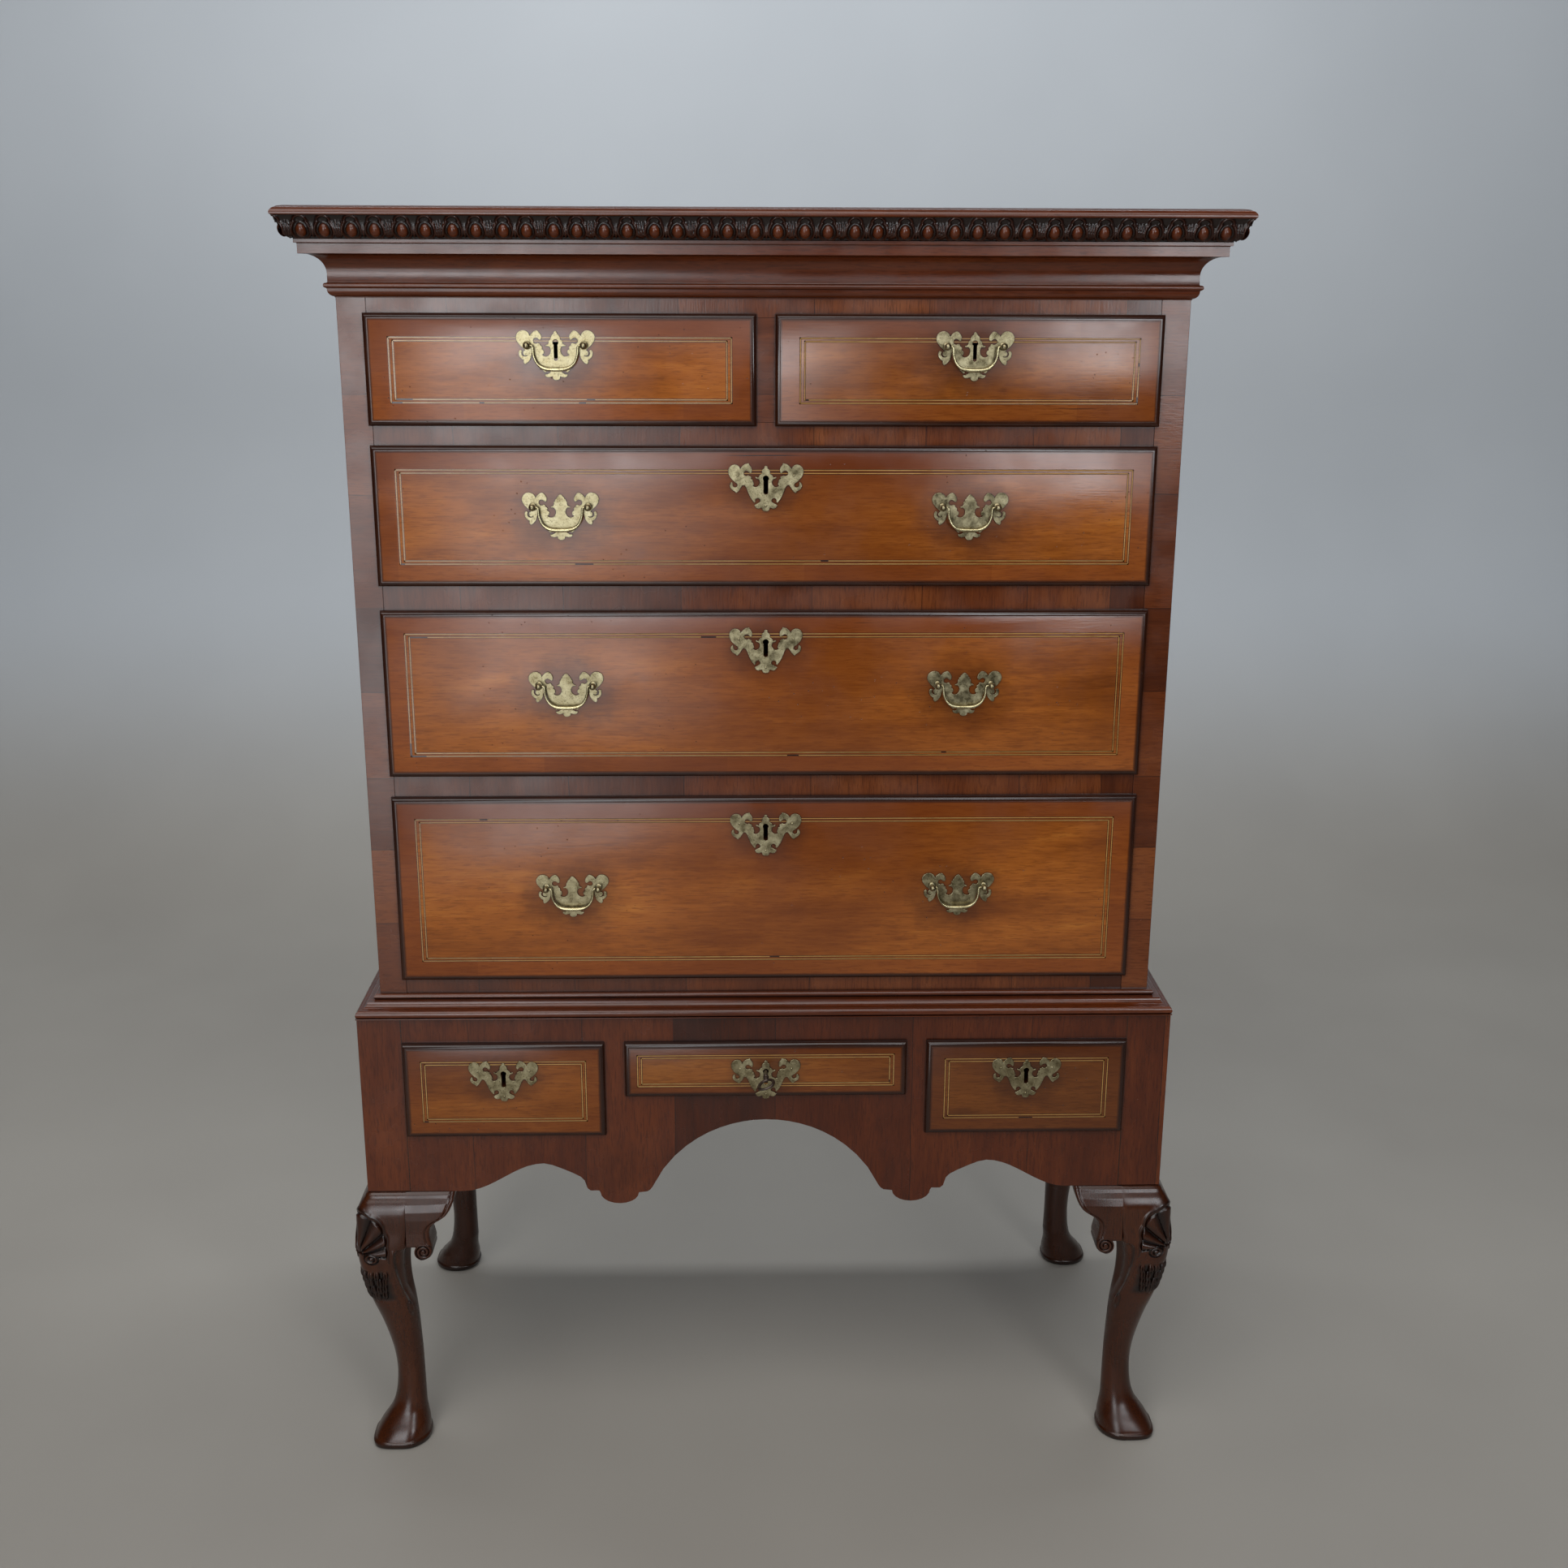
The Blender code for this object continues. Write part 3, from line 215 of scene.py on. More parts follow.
def grain_parts(g, along, seed, busy=1.0):
    """Broad figure, grain, fine fleck and pores for wood whose grain runs along one axis."""
    def scale(across, lengthways):
        sizes = [across * busy] * 3
        sizes[along] = lengthways
        return tuple(sizes)

    shift = (seed * 1.7, seed * 3.1, seed * 2.3)
    figure = g.noise(g.stretch(scale(8.0, 2.4), shift), 1.0, 3.0, 0.5, 1.3)
    grain = g.noise(g.stretch(scale(30.0, 3.0), shift), 1.0, 7.0, 0.62, 1.2)
    fleck = g.noise(g.stretch(scale(330.0, 26.0), shift), 1.0, 3.0, 0.6, 0.4)
    pores = g.noise(g.stretch(scale(620.0, 60.0), shift), 1.0, 2.0, 0.6)
    tone = g.add(g.times(figure, 0.42), g.times(grain, 0.36))
    return g.add(tone, g.times(fleck, 0.22)), pores


# tones run from dark to light: place on the ramp, colour
DIRT = (0.008, 0.002, 0.001)
DRAWER_TONES = [
    (0.25, (0.125, 0.032, 0.004)), (0.42, (0.225, 0.064, 0.008)), (0.56, (0.335, 0.104, 0.014)),
    (0.74, (0.480, 0.178, 0.028)),
]
BAND_TONES = [(0.25, (0.125, 0.028, 0.004)), (0.5, (0.235, 0.062, 0.009)), (0.75, (0.350, 0.110, 0.018))]
CASE_TONES = [(0.25, (0.050, 0.010, 0.002)), (0.5, (0.115, 0.027, 0.006)), (0.75, (0.190, 0.054, 0.013))]
STAND_TONES = [(0.25, (0.030, 0.005, 0.001)), (0.5, (0.075, 0.013, 0.002)), (0.75, (0.135, 0.029, 0.005))]
MOULD_TONES = [(0.25, (0.040, 0.008, 0.002)), (0.5, (0.095, 0.019, 0.004)), (0.75, (0.160, 0.037, 0.009))]
LEG_TONES = [(0.25, (0.016, 0.004, 0.001)), (0.5, (0.045, 0.010, 0.002)), (0.75, (0.084, 0.021, 0.004))]
OAK_TONES = [(0.25, (0.200, 0.110, 0.045)), (0.5, (0.330, 0.205, 0.092)), (0.75, (0.450, 0.300, 0.150))]
PINE_TONES = [(0.25, (0.130, 0.070, 0.032)), (0.5, (0.225, 0.130, 0.062)), (0.75, (0.320, 0.200, 0.105))]


def wood(name, along, tones, seed, patches=None, roughness=(0.18, 0.30), worn=True, busy=1.0, crevice=0.85,
         carved=False):
    """Polished wood. patches = (axis, patches a metre) makes cross-grained veneer laid in pieces.

    On carved wood the ground, low in the mesh attribute carve, is painted near black as painted shade in the carving's
    hollows."""
    g = Graph(name)
    tone, pores = grain_parts(g, along, seed, busy)
    line = None
    if patches:
        axis, rate = patches
        wobble = g.times(g.noise(g.stretch((9, 9, 9)), 1.0, 2.0), 0.006)
        w = g.add(g.add(g.split()[axis], wobble), seed * 0.37)
        tone = g.sway(tone, g.split(g.cells(w, rate))[0], 0.50)
        line = g.span(g.cells(w, rate, "DISTANCE_TO_EDGE"), 0.0, 0.010 * rate / 10)
    colour = g.ramp(tone, tones)
    colour = g.mix(g.span(pores, 0.34, 0.50, 0.50, 0.0), colour, tones[0][1])
    if line is not None:
        colour = g.mix(g.less(0.7, g.times(line, 0.7)), colour, DIRT)
    if worn:
        cloud = g.noise(g.place, 9.0, 4.0, 0.6)
        colour = g.mix(g.span(cloud, 0.52, 0.74, 0.0, 0.40), colour, tones[0][1])
        pits = g.span(g.dots(g.place, 120.0), 0.03, 0.10, 1.0, 0.0)
        pits = g.times(pits, g.span(g.noise(g.place, 14.0, 2.0), 0.55, 0.66))
        colour = g.mix(g.times(pits, 0.8), colour, (0.006, 0.002, 0.001))
    # painted shade: near-black darkening in corners and steps, from ambient occlusion
    colour = g.mix(g.crevice(0.009, crevice), (0.004, 0.001, 0.001), colour)
    # painted shade: the attribute carve darkens the carving's hollows and the back legs towards near black; it also
    # darkens the foot's rim
    if carved:
        light = g.tree.nodes.new("ShaderNodeAttribute")
        light.attribute_name = "carve"
        colour = g.mix(g.span(light.outputs["Fac"], 0.0, 1.0, 0.95, 0.0), colour, (0.004, 0.0015, 0.001))
    normal = g.bump(pores, 0.10, 0.0005)
    normal = g.bump(g.noise(g.place, 16.0, 2.0, 0.4), 0.16, 0.0010, normal)
    rough = g.span(g.noise(g.place, 17.0, 3.0), 0.3, 0.7, *roughness)
    return g.finish(colour, rough, normal)


WIDE_FRONT = 0.6


def drawer_wood(name, seed, rect, insets, marks, strength):
    """A drawer front: level grain, a redder border, a lip darkened with painted shade and smudges round the brasses.
    """
    left, right, low, high = rect
    side_inset, end_inset = insets
    g = Graph(name)
    x, _, z = g.split()

    def from_border(value, first, last):
        return g.less((last - first) / 2, g.math("ABSOLUTE", g.less(value, (first + last) / 2)))

    from_side = from_border(x, left, right)
    from_end = from_border(z, low, high)
    edge = g.math("MINIMUM", from_side, from_end)
    inner = g.math("MINIMUM", g.less(from_side, side_inset), g.less(from_end, end_inset))
    tone, pores = grain_parts(g, 0, seed)
    swirl = g.noise(g.stretch((2.2, 1.0, 6.0), (seed * 5.1, 0, seed)), 1.0, 3.0, 0.5, 2.6)
    chevron = g.noise(g.stretch((9.0, 1.0, 46.0), (seed * 2.1, 0, seed)), 1.0, 2.0, 0.5, 3.4)
    tone = g.sway(g.sway(tone, swirl, 0.36), chevron, 0.13)
    middle = g.ramp(tone, DRAWER_TONES)
    middle = g.mix(g.span(pores, 0.34, 0.50, 0.42, 0.0), middle, DRAWER_TONES[0][1])
    band_tone, band_pores = grain_parts(g, 0, seed + 11)
    cell = g.split(g.cells(g.add(x, seed * 0.31), 4.0))[0]
    band = g.ramp(g.sway(band_tone, cell, 0.10), BAND_TONES)
    band = g.mix(g.span(band_pores, 0.34, 0.50, 0.42, 0.0), band, BAND_TONES[0][1])
    colour = g.mix(g.span(inner, -0.0003, 0.0003), band, middle)
    # painted shade: redder and darker towards the top of each front
    height = g.sway(g.math("DIVIDE", g.less(z, low), high - low), g.noise(g.place, 4.0, 2.0), 0.9)
    colour = g.mix(g.span(height, 0.50, 1.05, 0.0, 0.60), colour, (0.120, 0.027, 0.005))
    # painted shade: a darker cloud across the middle of the wide fronts, which catch less sheen there
    if right - left > WIDE_FRONT:
        across = g.sway(g.math("ABSOLUTE", g.less(x, 0.03)), g.noise(g.place, 5.0, 2.0), 0.22)
        colour = g.mix(g.span(across, 0.05, 0.24, 0.42, 0.0), colour, (0.120, 0.026, 0.004))
    # smudges round the brasses, darker below
    for mark_x, mark_z, spread in marks:
        dx = g.math("DIVIDE", g.less(x, mark_x), spread * 1.35)
        dz = g.math("DIVIDE", g.less(z, mark_z), spread)
        reach = g.math("SQRT", g.add(g.math("POWER", dx, 2.0), g.math("POWER", dz, 2.0)))
        reach = g.sway(reach, g.noise(g.place, 40.0, 3.0), 0.9)
        colour = g.mix(g.span(reach, 0.40, 1.30, 0.60, 0.0), colour, (0.045, 0.010, 0.003))
    cloud = g.noise(g.stretch((5, 5, 9), (seed, 0, 0)), 1.0, 4.0, 0.6)
    colour = g.mix(g.span(cloud, 0.54, 0.76, 0.0, 0.36), colour, (0.090, 0.018, 0.004))
    pits = g.span(g.dots(g.stretch((1, 1, 1), (seed, 0, 0)), 105.0), 0.035, 0.10, 1.0, 0.0)
    pits = g.times(pits, g.span(g.noise(g.place, 11.0, 2.0), 0.52, 0.62))
    colour = g.mix(g.times(pits, 0.85), colour, (0.010, 0.003, 0.002))
    cracks = g.noise(g.stretch((4, 1, 260), (seed, 0, 3)), 1.0, 2.0, 0.5)
    cracks = g.times(g.span(cracks, 0.700, 0.725), g.span(g.noise(g.place, 6.0, 1.0), 0.55, 0.65))
    colour = g.mix(cracks, colour, (0.012, 0.004, 0.002))
    # strength darkens each whole front, partly for its own tone and partly as painted shade, most on the stand drawers
    # and the right-hand ones
    colour = g.mix(1.0, colour, (strength, strength * 0.93, strength * 0.85), "MULTIPLY")
    # painted shade: the rounded lip is darkened, with a painted line of shade at its step; a noise varies its strength
    wavy = g.sway(edge, g.noise(g.place, 60.0, 3.0), 0.0012)
    colour = g.mix(g.span(wavy, 0.0066, 0.0088, 0.75, 0.0), colour, (0.030, 0.008, 0.003))
    lip_shade_breakup = g.span(g.noise(g.place, 16.0, 3.0), 0.45, 0.65, 0.92, 0.70)
    colour = g.mix(g.times(g.span(edge, 0.0044, 0.0064, 1.0, 0.0), lip_shade_breakup), colour, (0.016, 0.004, 0.002))
    # painted shade: near-black darkening in corners and beside the brasses, from ambient occlusion
    colour = g.mix(g.crevice(0.007, 0.75), (0.006, 0.002, 0.001), colour)
    normal = g.bump(pores, 0.08, 0.0005)
    normal = g.bump(g.noise(g.stretch((9, 9, 16), (seed, 0, 0)), 1.0, 2.0, 0.4), 0.30, 0.0014, normal)
    normal = g.bump(g.less(1.0, pits), 0.5, 0.0008, normal)
    rough = g.span(g.noise(g.place, 13.0, 3.0), 0.3, 0.7, 0.17, 0.27)
    return g.finish(colour, rough, normal)


METAL_CLOUDS = 90.0  # patches of patina a metre


def metal(name, tones, roughness, patina):
    """Aged metal: clouds of tone, spots of patina and dirt in its corners."""
    g = Graph(name)
    cloud = g.noise(g.place, METAL_CLOUDS, 5.0, 0.6)
    colour = g.ramp(cloud, tones)
    spots = g.span(g.noise(g.place, METAL_CLOUDS * 6, 3.0, 0.6), 0.50, 0.68)
    colour = g.mix(g.times(spots, 0.6), colour, patina)
    colour = g.mix(g.crevice(0.0030, 0.8), patina, colour)
    rough = g.span(cloud, 0.3, 0.7, *roughness)
    normal = g.bump(g.noise(g.place, METAL_CLOUDS * 9, 3.0), 0.22, 0.0004)
    return g.finish(colour, rough, normal, metallic=1.0)


BRASS = metal(
    "brass_aged", [(0.30, (0.17, 0.140, 0.075)), (0.52, (0.34, 0.295, 0.175)), (0.75, (0.54, 0.485, 0.31))],
    (0.26, 0.42), (0.085, 0.062, 0.026),
)
BRASS_RUBBED = metal(
    "brass_rubbed", [(0.30, (0.36, 0.31, 0.17)), (0.60, (0.62, 0.56, 0.34))], (0.20, 0.34),
    (0.16, 0.12, 0.05),
)
IRON = metal(
    "iron_browned", [(0.30, (0.060, 0.045, 0.038)), (0.60, (0.150, 0.120, 0.100))], (0.38, 0.60),
    (0.080, 0.030, 0.015),
)
BOXWOOD = wood(
    "boxwood_line", 0,
    [(0.25, (0.240, 0.110, 0.024)), (0.5, (0.420, 0.220, 0.058)), (0.75, (0.600, 0.360, 0.115))], 2,
    worn=False, crevice=0.2,
)
EBONY = wood(
    "ebonised_line", 0,
    [(0.25, (0.014, 0.004, 0.001)), (0.5, (0.034, 0.010, 0.003)), (0.75, (0.065, 0.020, 0.006))], 3,
    worn=False, crevice=0.2,
)
OAK = wood("oak_lining", 1, OAK_TONES, 4, roughness=(0.55, 0.75), busy=1.5, crevice=0.5)
PINE = wood("pine_back", 2, PINE_TONES, 5, roughness=(0.62, 0.82), crevice=0.5)
MOULDING = wood("walnut_moulding", 0, MOULD_TONES, 6, roughness=(0.18, 0.28), crevice=0.95)
MOULDING_TOP = wood("walnut_top", 0, MOULD_TONES, 7, roughness=(0.20, 0.30))
CARVED = wood("walnut_carved_cyma", 0, MOULD_TONES, 8, roughness=(0.20, 0.32), carved=True)
LEG = wood("walnut_leg", 2, LEG_TONES, 9, roughness=(0.20, 0.32), carved=True)
RAIL = wood("walnut_rail", 2, CASE_TONES, 10, patches=(0, 8.0))
STILE = wood("walnut_stile", 0, CASE_TONES, 11, patches=(2, 9.0))
CASE_SIDE = wood("walnut_side", 2, CASE_TONES, 12)
APRON = wood("walnut_apron", 2, STAND_TONES, 13, patches=(0, 7.0))
STAND_SIDE = wood("walnut_stand_side", 1, STAND_TONES, 14)


# ---------------------------------------------------------------- geometry helpers
def linked(name, data):
    thing = bpy.data.objects.new(name, data)
    bpy.context.scene.collection.objects.link(thing)
    return thing


def new_object(name, data, material, body, nodes=(), smooth=None):
    """A visible piece. data is a mesh, or a bmesh that becomes one."""
    if isinstance(data, bmesh.types.BMesh):
        data = mesh_of(data, name)
    thing = linked(name, data)
    data.materials.clear()
    data.materials.append(material)
    if smooth is not None:
        data.shade_smooth()
        data.set_sharp_from_angle(angle=math.radians(smooth))
    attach(thing, body)
    if nodes:
        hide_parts(*nodes)
    return thing


def mesh_of(shape, name):
    shape.normal_update()
    bmesh.ops.recalc_face_normals(shape, faces=shape.faces[:])
    data = bpy.data.meshes.new(name)
    shape.to_mesh(data)
    shape.free()
    return data


def loft_into(shape, rings, caps=True):
    """Closed rings joined one to the next."""
    loops = [[shape.verts.new(point) for point in ring] for ring in rings]
    for lower, upper in zip(loops, loops[1:]):
        for i in range(len(lower)):
            j = (i + 1) % len(lower)
            shape.faces.new((lower[i], lower[j], upper[j], upper[i]))
    if caps:
        shape.faces.new(loops[0])
        shape.faces.new(loops[-1])


def box_into(shape, low, high):
    made = bmesh.ops.create_cube(shape, size=1.0)["verts"]
    low, high = Vector(low), Vector(high)
    bmesh.ops.scale(shape, vec=high - low, verts=made)
    bmesh.ops.translate(shape, vec=(low + high) / 2, verts=made)


def soften(thing, width):
    """A small rounded arris on every sharp edge."""
    modifier = thing.modifiers.new("arris", "BEVEL")
    modifier.width = width
    modifier.segments = 2
    modifier.limit_method = "ANGLE"
    modifier.angle_limit = math.radians(50)
    modifier.harden_normals = True


def curve_points(points, steps=4):
    """A smooth line through points (Catmull-Rom)."""
    out = []
    last = len(points) - 1
    for i in range(last):
        p = [np.array(points[min(max(i + k, 0), last)], float) for k in (-1, 0, 1, 2)]
        linear = p[2] - p[0]
        square = 2 * p[0] - 5 * p[1] + 4 * p[2] - p[3]
        cube = 3 * p[1] - p[0] - 3 * p[2] + p[3]
        for s in range(steps):
            t = s / steps
            out.append(tuple(0.5 * (2 * p[1] + linear * t + square * t * t + cube * t ** 3)))
    out.append(tuple(float(c) for c in points[-1]))
    return out


def circle(across, up, radius, first, last, count):
    angles = [math.radians(first + (last - first) * i / count) for i in range(count + 1)]
    return [(across + radius * math.cos(a), up + radius * math.sin(a)) for a in angles]


def curve_mesh(curve):
    guide = linked("guide", curve)
    bpy.context.view_layer.update()
    data = bpy.data.meshes.new_from_object(guide.evaluated_get(bpy.context.evaluated_depsgraph_get()))
    bpy.data.objects.remove(guide, do_unlink=True)
    return data


def plate_mesh(name, loops, thickness, edge):
    """A flat plate in x and z with rounded edges, its back at y = 0 and its front towards -y."""
    curve = bpy.data.curves.new(name, "CURVE")
    curve.dimensions = "2D"
    curve.fill_mode = "BOTH"
    curve.extrude = thickness / 2 - edge
    curve.bevel_depth = edge
    curve.bevel_resolution = 1
    curve.offset = -edge
    for loop in loops:
        spline = curve.splines.new("POLY")
        spline.points.add(len(loop) - 1)
        for point, (across, up) in zip(spline.points, loop):
            point.co = (across, up, 0, 1)
        spline.use_cyclic_u = True
    data = curve_mesh(curve)
    data.transform(Matrix.Translation((0, -thickness / 2, 0)) @ Matrix.Rotation(math.pi / 2, 4, "X"))
    return data


def mitred(profile, z0):
    """A moulding round the front and both sides of the case; profile points are (outwards, height over z0)."""
    shape = bmesh.new()
    corners = ((-1, 0, CASE_BACK), (-1, -1, CASE_Y), (1, -1, CASE_Y), (1, 0, CASE_BACK))
    loft_into(
        shape,
        [[(s * (CASE_HALF + out), y + a * out, z0 + up) for out, up in profile] for s, a, y in corners],
    )
    return shape


# ---------------------------------------------------------------- cornice
TOP_MARGIN = 0.20  # how far the mitred border of the top board reaches in over the case


def cornice():
    z0 = CORNICE_LOW.z
    ovolo = circle(-0.0005, 0.0090, 0.0080, -80, 0, 10)
    bead = circle(0.0082, 0.0132, 0.0027, -70, 100, 12)
    cove = circle(0.0272, 0.0258, 0.0207, 180, 96, 24)
    profile = [(GAP, 0.0), (0.0006, 0.0)] + ovolo + [(0.0077, 0.0100)] + bead
    profile += [(0.0068, 0.0164), (0.0066, 0.0170)] + cove + [
        (0.0300, 0.0466), (0.0313, 0.0467), (0.0316, 0.0470),
    ]
    profile += [
        (0.0316, 0.0572), (0.0320, 0.0578), (0.0342, 0.0580), (0.0346, 0.0584), (0.0346, 0.0618),
        (0.0342, 0.0624),
    ]
    profile += [(0.0330, 0.0630), (0.0330, 0.0640), (0.0400, 0.0680), (0.0450, 0.0860), (GAP, 0.0860)]
    new_object(
        "cornice_run", mitred(profile, z0), MOULDING, "chest", ["cornice_moulding"], 28,
    )
    carved_cyma(z0)
    # the top board, its front edge a rounded nose that slopes back
    nose = [
        (0.0460, 0.0), (0.0528, 0.0), (0.0540, 0.0010), (0.0543, 0.0026), (0.0538, 0.0044),
        (0.0515, 0.0070), (0.0470, 0.0092), (0.0420, 0.0102), (-TOP_MARGIN, 0.0105), (-TOP_MARGIN, 0.0),
    ]
    shape = mitred(nose, TOP_LOW.z)
    inside = TOP_MARGIN - 0.01
    box_into(
        shape, (inside - CASE_HALF, CASE_Y + inside, TOP_LOW.z), (CASE_HALF - inside, CASE_BACK, TOP_HIGH.z),
    )
    new_object("cornice_top_board", shape, MOULDING_TOP, "chest", ["cornice_top"], 30)


CARVE_PERIOD = 0.0545
CARVE_DEPTH = 0.0024
EGG_SPACING = 0.0250
EGG_HEIGHT = 0.0115


def bump_of(distance):
    """A smooth dome, 1 at the middle and 0 from 1 outwards."""
    return np.sqrt(np.clip(1 - distance ** 2, 0, None))


def ridge(distance, width):
    """A soft ridge, 1 along its middle."""
    return np.exp(-((distance / width) ** 2))


def lit_mesh(name, points, faces, light):
    """A mesh with the painted light and shade of its carving in the attribute carve."""
    data = bpy.data.meshes.new(name)
    data.from_pydata(points.tolist(), [], faces)
    data.attributes.new("carve", "FLOAT", "POINT").data.foreach_set(
        "value", light.reshape(-1).astype(np.float32),
    )
    return data


def quads_of(index, nxt=None):
    """Faces between neighbours in a grid of vertex numbers; nxt is the grid one column on."""
    if nxt is None:
        index, nxt = index[:, :-1], index[:, 1:]
    return np.stack([index[:-1], nxt[:-1], nxt[1:], index[1:]], -1).reshape(-1, 4).tolist()


def carve_cyma(s, t):
    """Relief and painted light and shade of the carved cyma, its raised parts lighter and its sunk ground dark: s
    along and t up its face, in metres.
    """
    s = (s + CARVE_PERIOD / 2) % CARVE_PERIOD - CARVE_PERIOD / 2
    relief = np.full(np.broadcast(s, t).shape, -CARVE_DEPTH)
    light = np.zeros_like(relief)

    def add(height, shade, rise):
        nonlocal relief, light
        lifted = rise * height - CARVE_DEPTH
        light = np.where(lifted > relief, np.maximum(light, shade * np.clip(height * 2.4, 0, 1)), light)
        relief = np.maximum(relief, lifted)

    for side in (-1, 1):
        d = s - side * EGG_SPACING / 2
        add(bump_of(np.hypot(d / 0.0060, (t - EGG_HEIGHT) / 0.0078)), 0.85, 0.0052)
        socket = np.hypot(d, (t - EGG_HEIGHT) * 0.86)
        add(ridge(socket - 0.0100, 0.0011) * (t < 0.0210), 0.36, 0.0034)
        crest = np.hypot(d * 0.80, t - 0.0205)
        add(ridge(crest - 0.0056, 0.0009) * (t > 0.0205), 0.34, 0.0030)
    add(bump_of(np.hypot(s / 0.0013, (t - 0.0090) / 0.0080)), 0.40, 0.0034)
    across = np.sign(s) * (np.abs(s) - CARVE_PERIOD / 2)
    for lean in (-1.5, -0.5, 0.5, 1.5):
        axis = lean * 0.0030 * (0.45 + t / 0.030)
        add(bump_of(np.hypot((across - axis) / 0.0012, (t - 0.0110) / 0.0105)), 0.38, 0.0036)
    return relief, light


def carved_cyma(z0):
    """The carved strip round the front and sides, under the top board."""
    line = [
        (0.0336, 0.0624), (0.0372, 0.0632), (0.0425, 0.0664), (0.0462, 0.0715), (0.0482, 0.0785),
        (0.0505, 0.0830), (0.0528, 0.0864),
    ]
    line = np.array(curve_points(line, 6))
    steps = np.r_[0, np.cumsum(np.hypot(*np.diff(line, axis=0).T))]
    total = steps[-1]
    rows = 40
    t = np.linspace(0, total, rows)
    out = np.interp(t, steps, line[:, 0])
    up = np.interp(t, steps, line[:, 1]) + z0
    slope = np.stack([np.gradient(out, t), np.gradient(up, t)])
    normal = np.stack([slope[1], -slope[0]]) / np.hypot(*slope)
    face = t / total * 0.0275
    fade = np.clip(np.minimum(t, total - t) / 0.0014, 0, 1)
    for name, side in (("front", 0), ("left", -1), ("right", 1)):
        length = 2 * CASE_HALF if side == 0 else CASE_BACK - CASE_Y
        count = int(length / 0.00085)
        if side == 0:
            along = np.linspace(-1, 1, count)[:, None] * (CASE_HALF + out[None, :])
        else:
            along = np.linspace(0, 1, count)[:, None] * (length + out[None, :]) - out[None, :]
        relief, light = carve_cyma(along, face[None, :])
        relief = relief * fade[None, :]
        o = out[None, :] + normal[0][None, :] * relief
        z = up[None, :] + normal[1][None, :] * relief
        if side == 0:
            x, y = along, CASE_Y - o
        else:
            x, y = side * (CASE_HALF + o), CASE_Y + along
        x, y, z, light = np.broadcast_arrays(x, y, z, light)
        points = np.stack([x, y, z], -1).reshape(-1, 3)
        index = np.arange(count * rows).reshape(count, rows)
        quads = np.stack([index[:-1, :-1], index[1:, :-1], index[1:, 1:], index[:-1, 1:]], -1).reshape(-1, 4)
        if side == -1:
            quads = quads[:, ::-1]
        data = lit_mesh(f"carved_cyma_{name}", points, quads.tolist(), light)
        data.shade_smooth()
        new_object(f"carved_cyma_{name}", data, CARVED, "chest")


def waist():
    lower = circle(0.0220, 0.0056, 0.0054, -60, 95, 12)
    hollow = circle(0.0215, 0.0190, 0.0078, 258, 184, 10)
    upper = circle(0.0034, 0.0218, 0.0036, -50, 90, 10)
    profile = [(GAP, 0.0), (0.0272, 0.0), (0.0275, 0.0006), (0.0274, 0.0012), (0.0262, 0.0014)] + lower
    profile += [(0.0205, 0.0112)] + hollow + [
        (0.0125, 0.0185), (0.0085, 0.0187), (0.0078, 0.0190),
    ] + upper + [(GAP, 0.0256)]
    new_object(
        "waist_run", mitred(profile, WAIST_LOW.z), MOULDING, "chest",
        ["stand_waist_moulding"], 28,
    )


# ---------------------------------------------------------------- legs
# height (m), reach beyond the stand's faces (m), reach inwards (m), squareness outside and inside
LEG_TABLE = (
    (0.000, 0.0130, 0.0565, 3.6, 2.2), (0.002, 0.0152, 0.0590, 3.8, 2.2),
    (0.0075, 0.0160, 0.0598, 3.8, 2.2), (0.0092, 0.0150, 0.0590, 3.6, 2.2),
    (0.0098, 0.0136, 0.0580, 3.6, 2.2), (0.0130, 0.0124, 0.0578, 3.4, 2.2),
    (0.022, 0.0070, 0.0570, 3.0, 2.2), (0.033, -0.0010, 0.0550, 2.6, 2.1),
    (0.045, -0.0082, 0.0532, 2.2, 2.0), (0.064, -0.0136, 0.0525, 2.0, 2.0),
    (0.094, -0.0161, 0.0520, 2.0, 2.0), (0.123, -0.0143, 0.0517, 2.0, 2.0),
    (0.153, -0.0090, 0.0510, 2.1, 2.1), (0.183, -0.0020, 0.0500, 2.3, 2.3),
    (0.209, 0.0050, 0.0480, 2.6, 2.6),
    (0.236, 0.0110, 0.0450, 2.9, 3.0), (0.262, 0.0153, 0.0440, 3.2, 3.6), (0.284, 0.0182, 0.0460, 3.4, 4.0),
    (0.303, 0.0186, 0.0500, 3.6, 5.0), (0.322, 0.0168, 0.0530, 4.0, 7.0), (0.340, 0.0160, 0.0540, 4.5, 9.0),
    (0.351, 0.0146, 0.0540, 5.0, 10.0), (0.360, 0.0106, 0.0540, 6.0, 12.0),
    (0.3665, 0.0060, 0.0540, 7.0, 14.0),
    (0.3705, 0.0040, 0.0540, 8.0, 15.0), (0.3737, 0.0010, 0.0540, 9.0, 16.0),
)
BACK_TUCK = 0.012  # the back legs' ankles stand this much further in
SHELL_FOOT = 0.2925  # height of the shell's hinge
SHELL_RIM = 0.0400
SHELL_RIBS = 6.5
SCROLL = (0.0135, 0.2870)
LEAF_MIDDLE = 0.2430
LEAF_TIERS = (
    (0.2590, 0.0235, 0.0080), (0.2485, 0.0225, 0.0085), (0.2375, 0.0205, 0.0090), (0.2270, 0.0165, 0.0090),
)
RIM_TOP = 0.0105  # top of the foot's upright rim


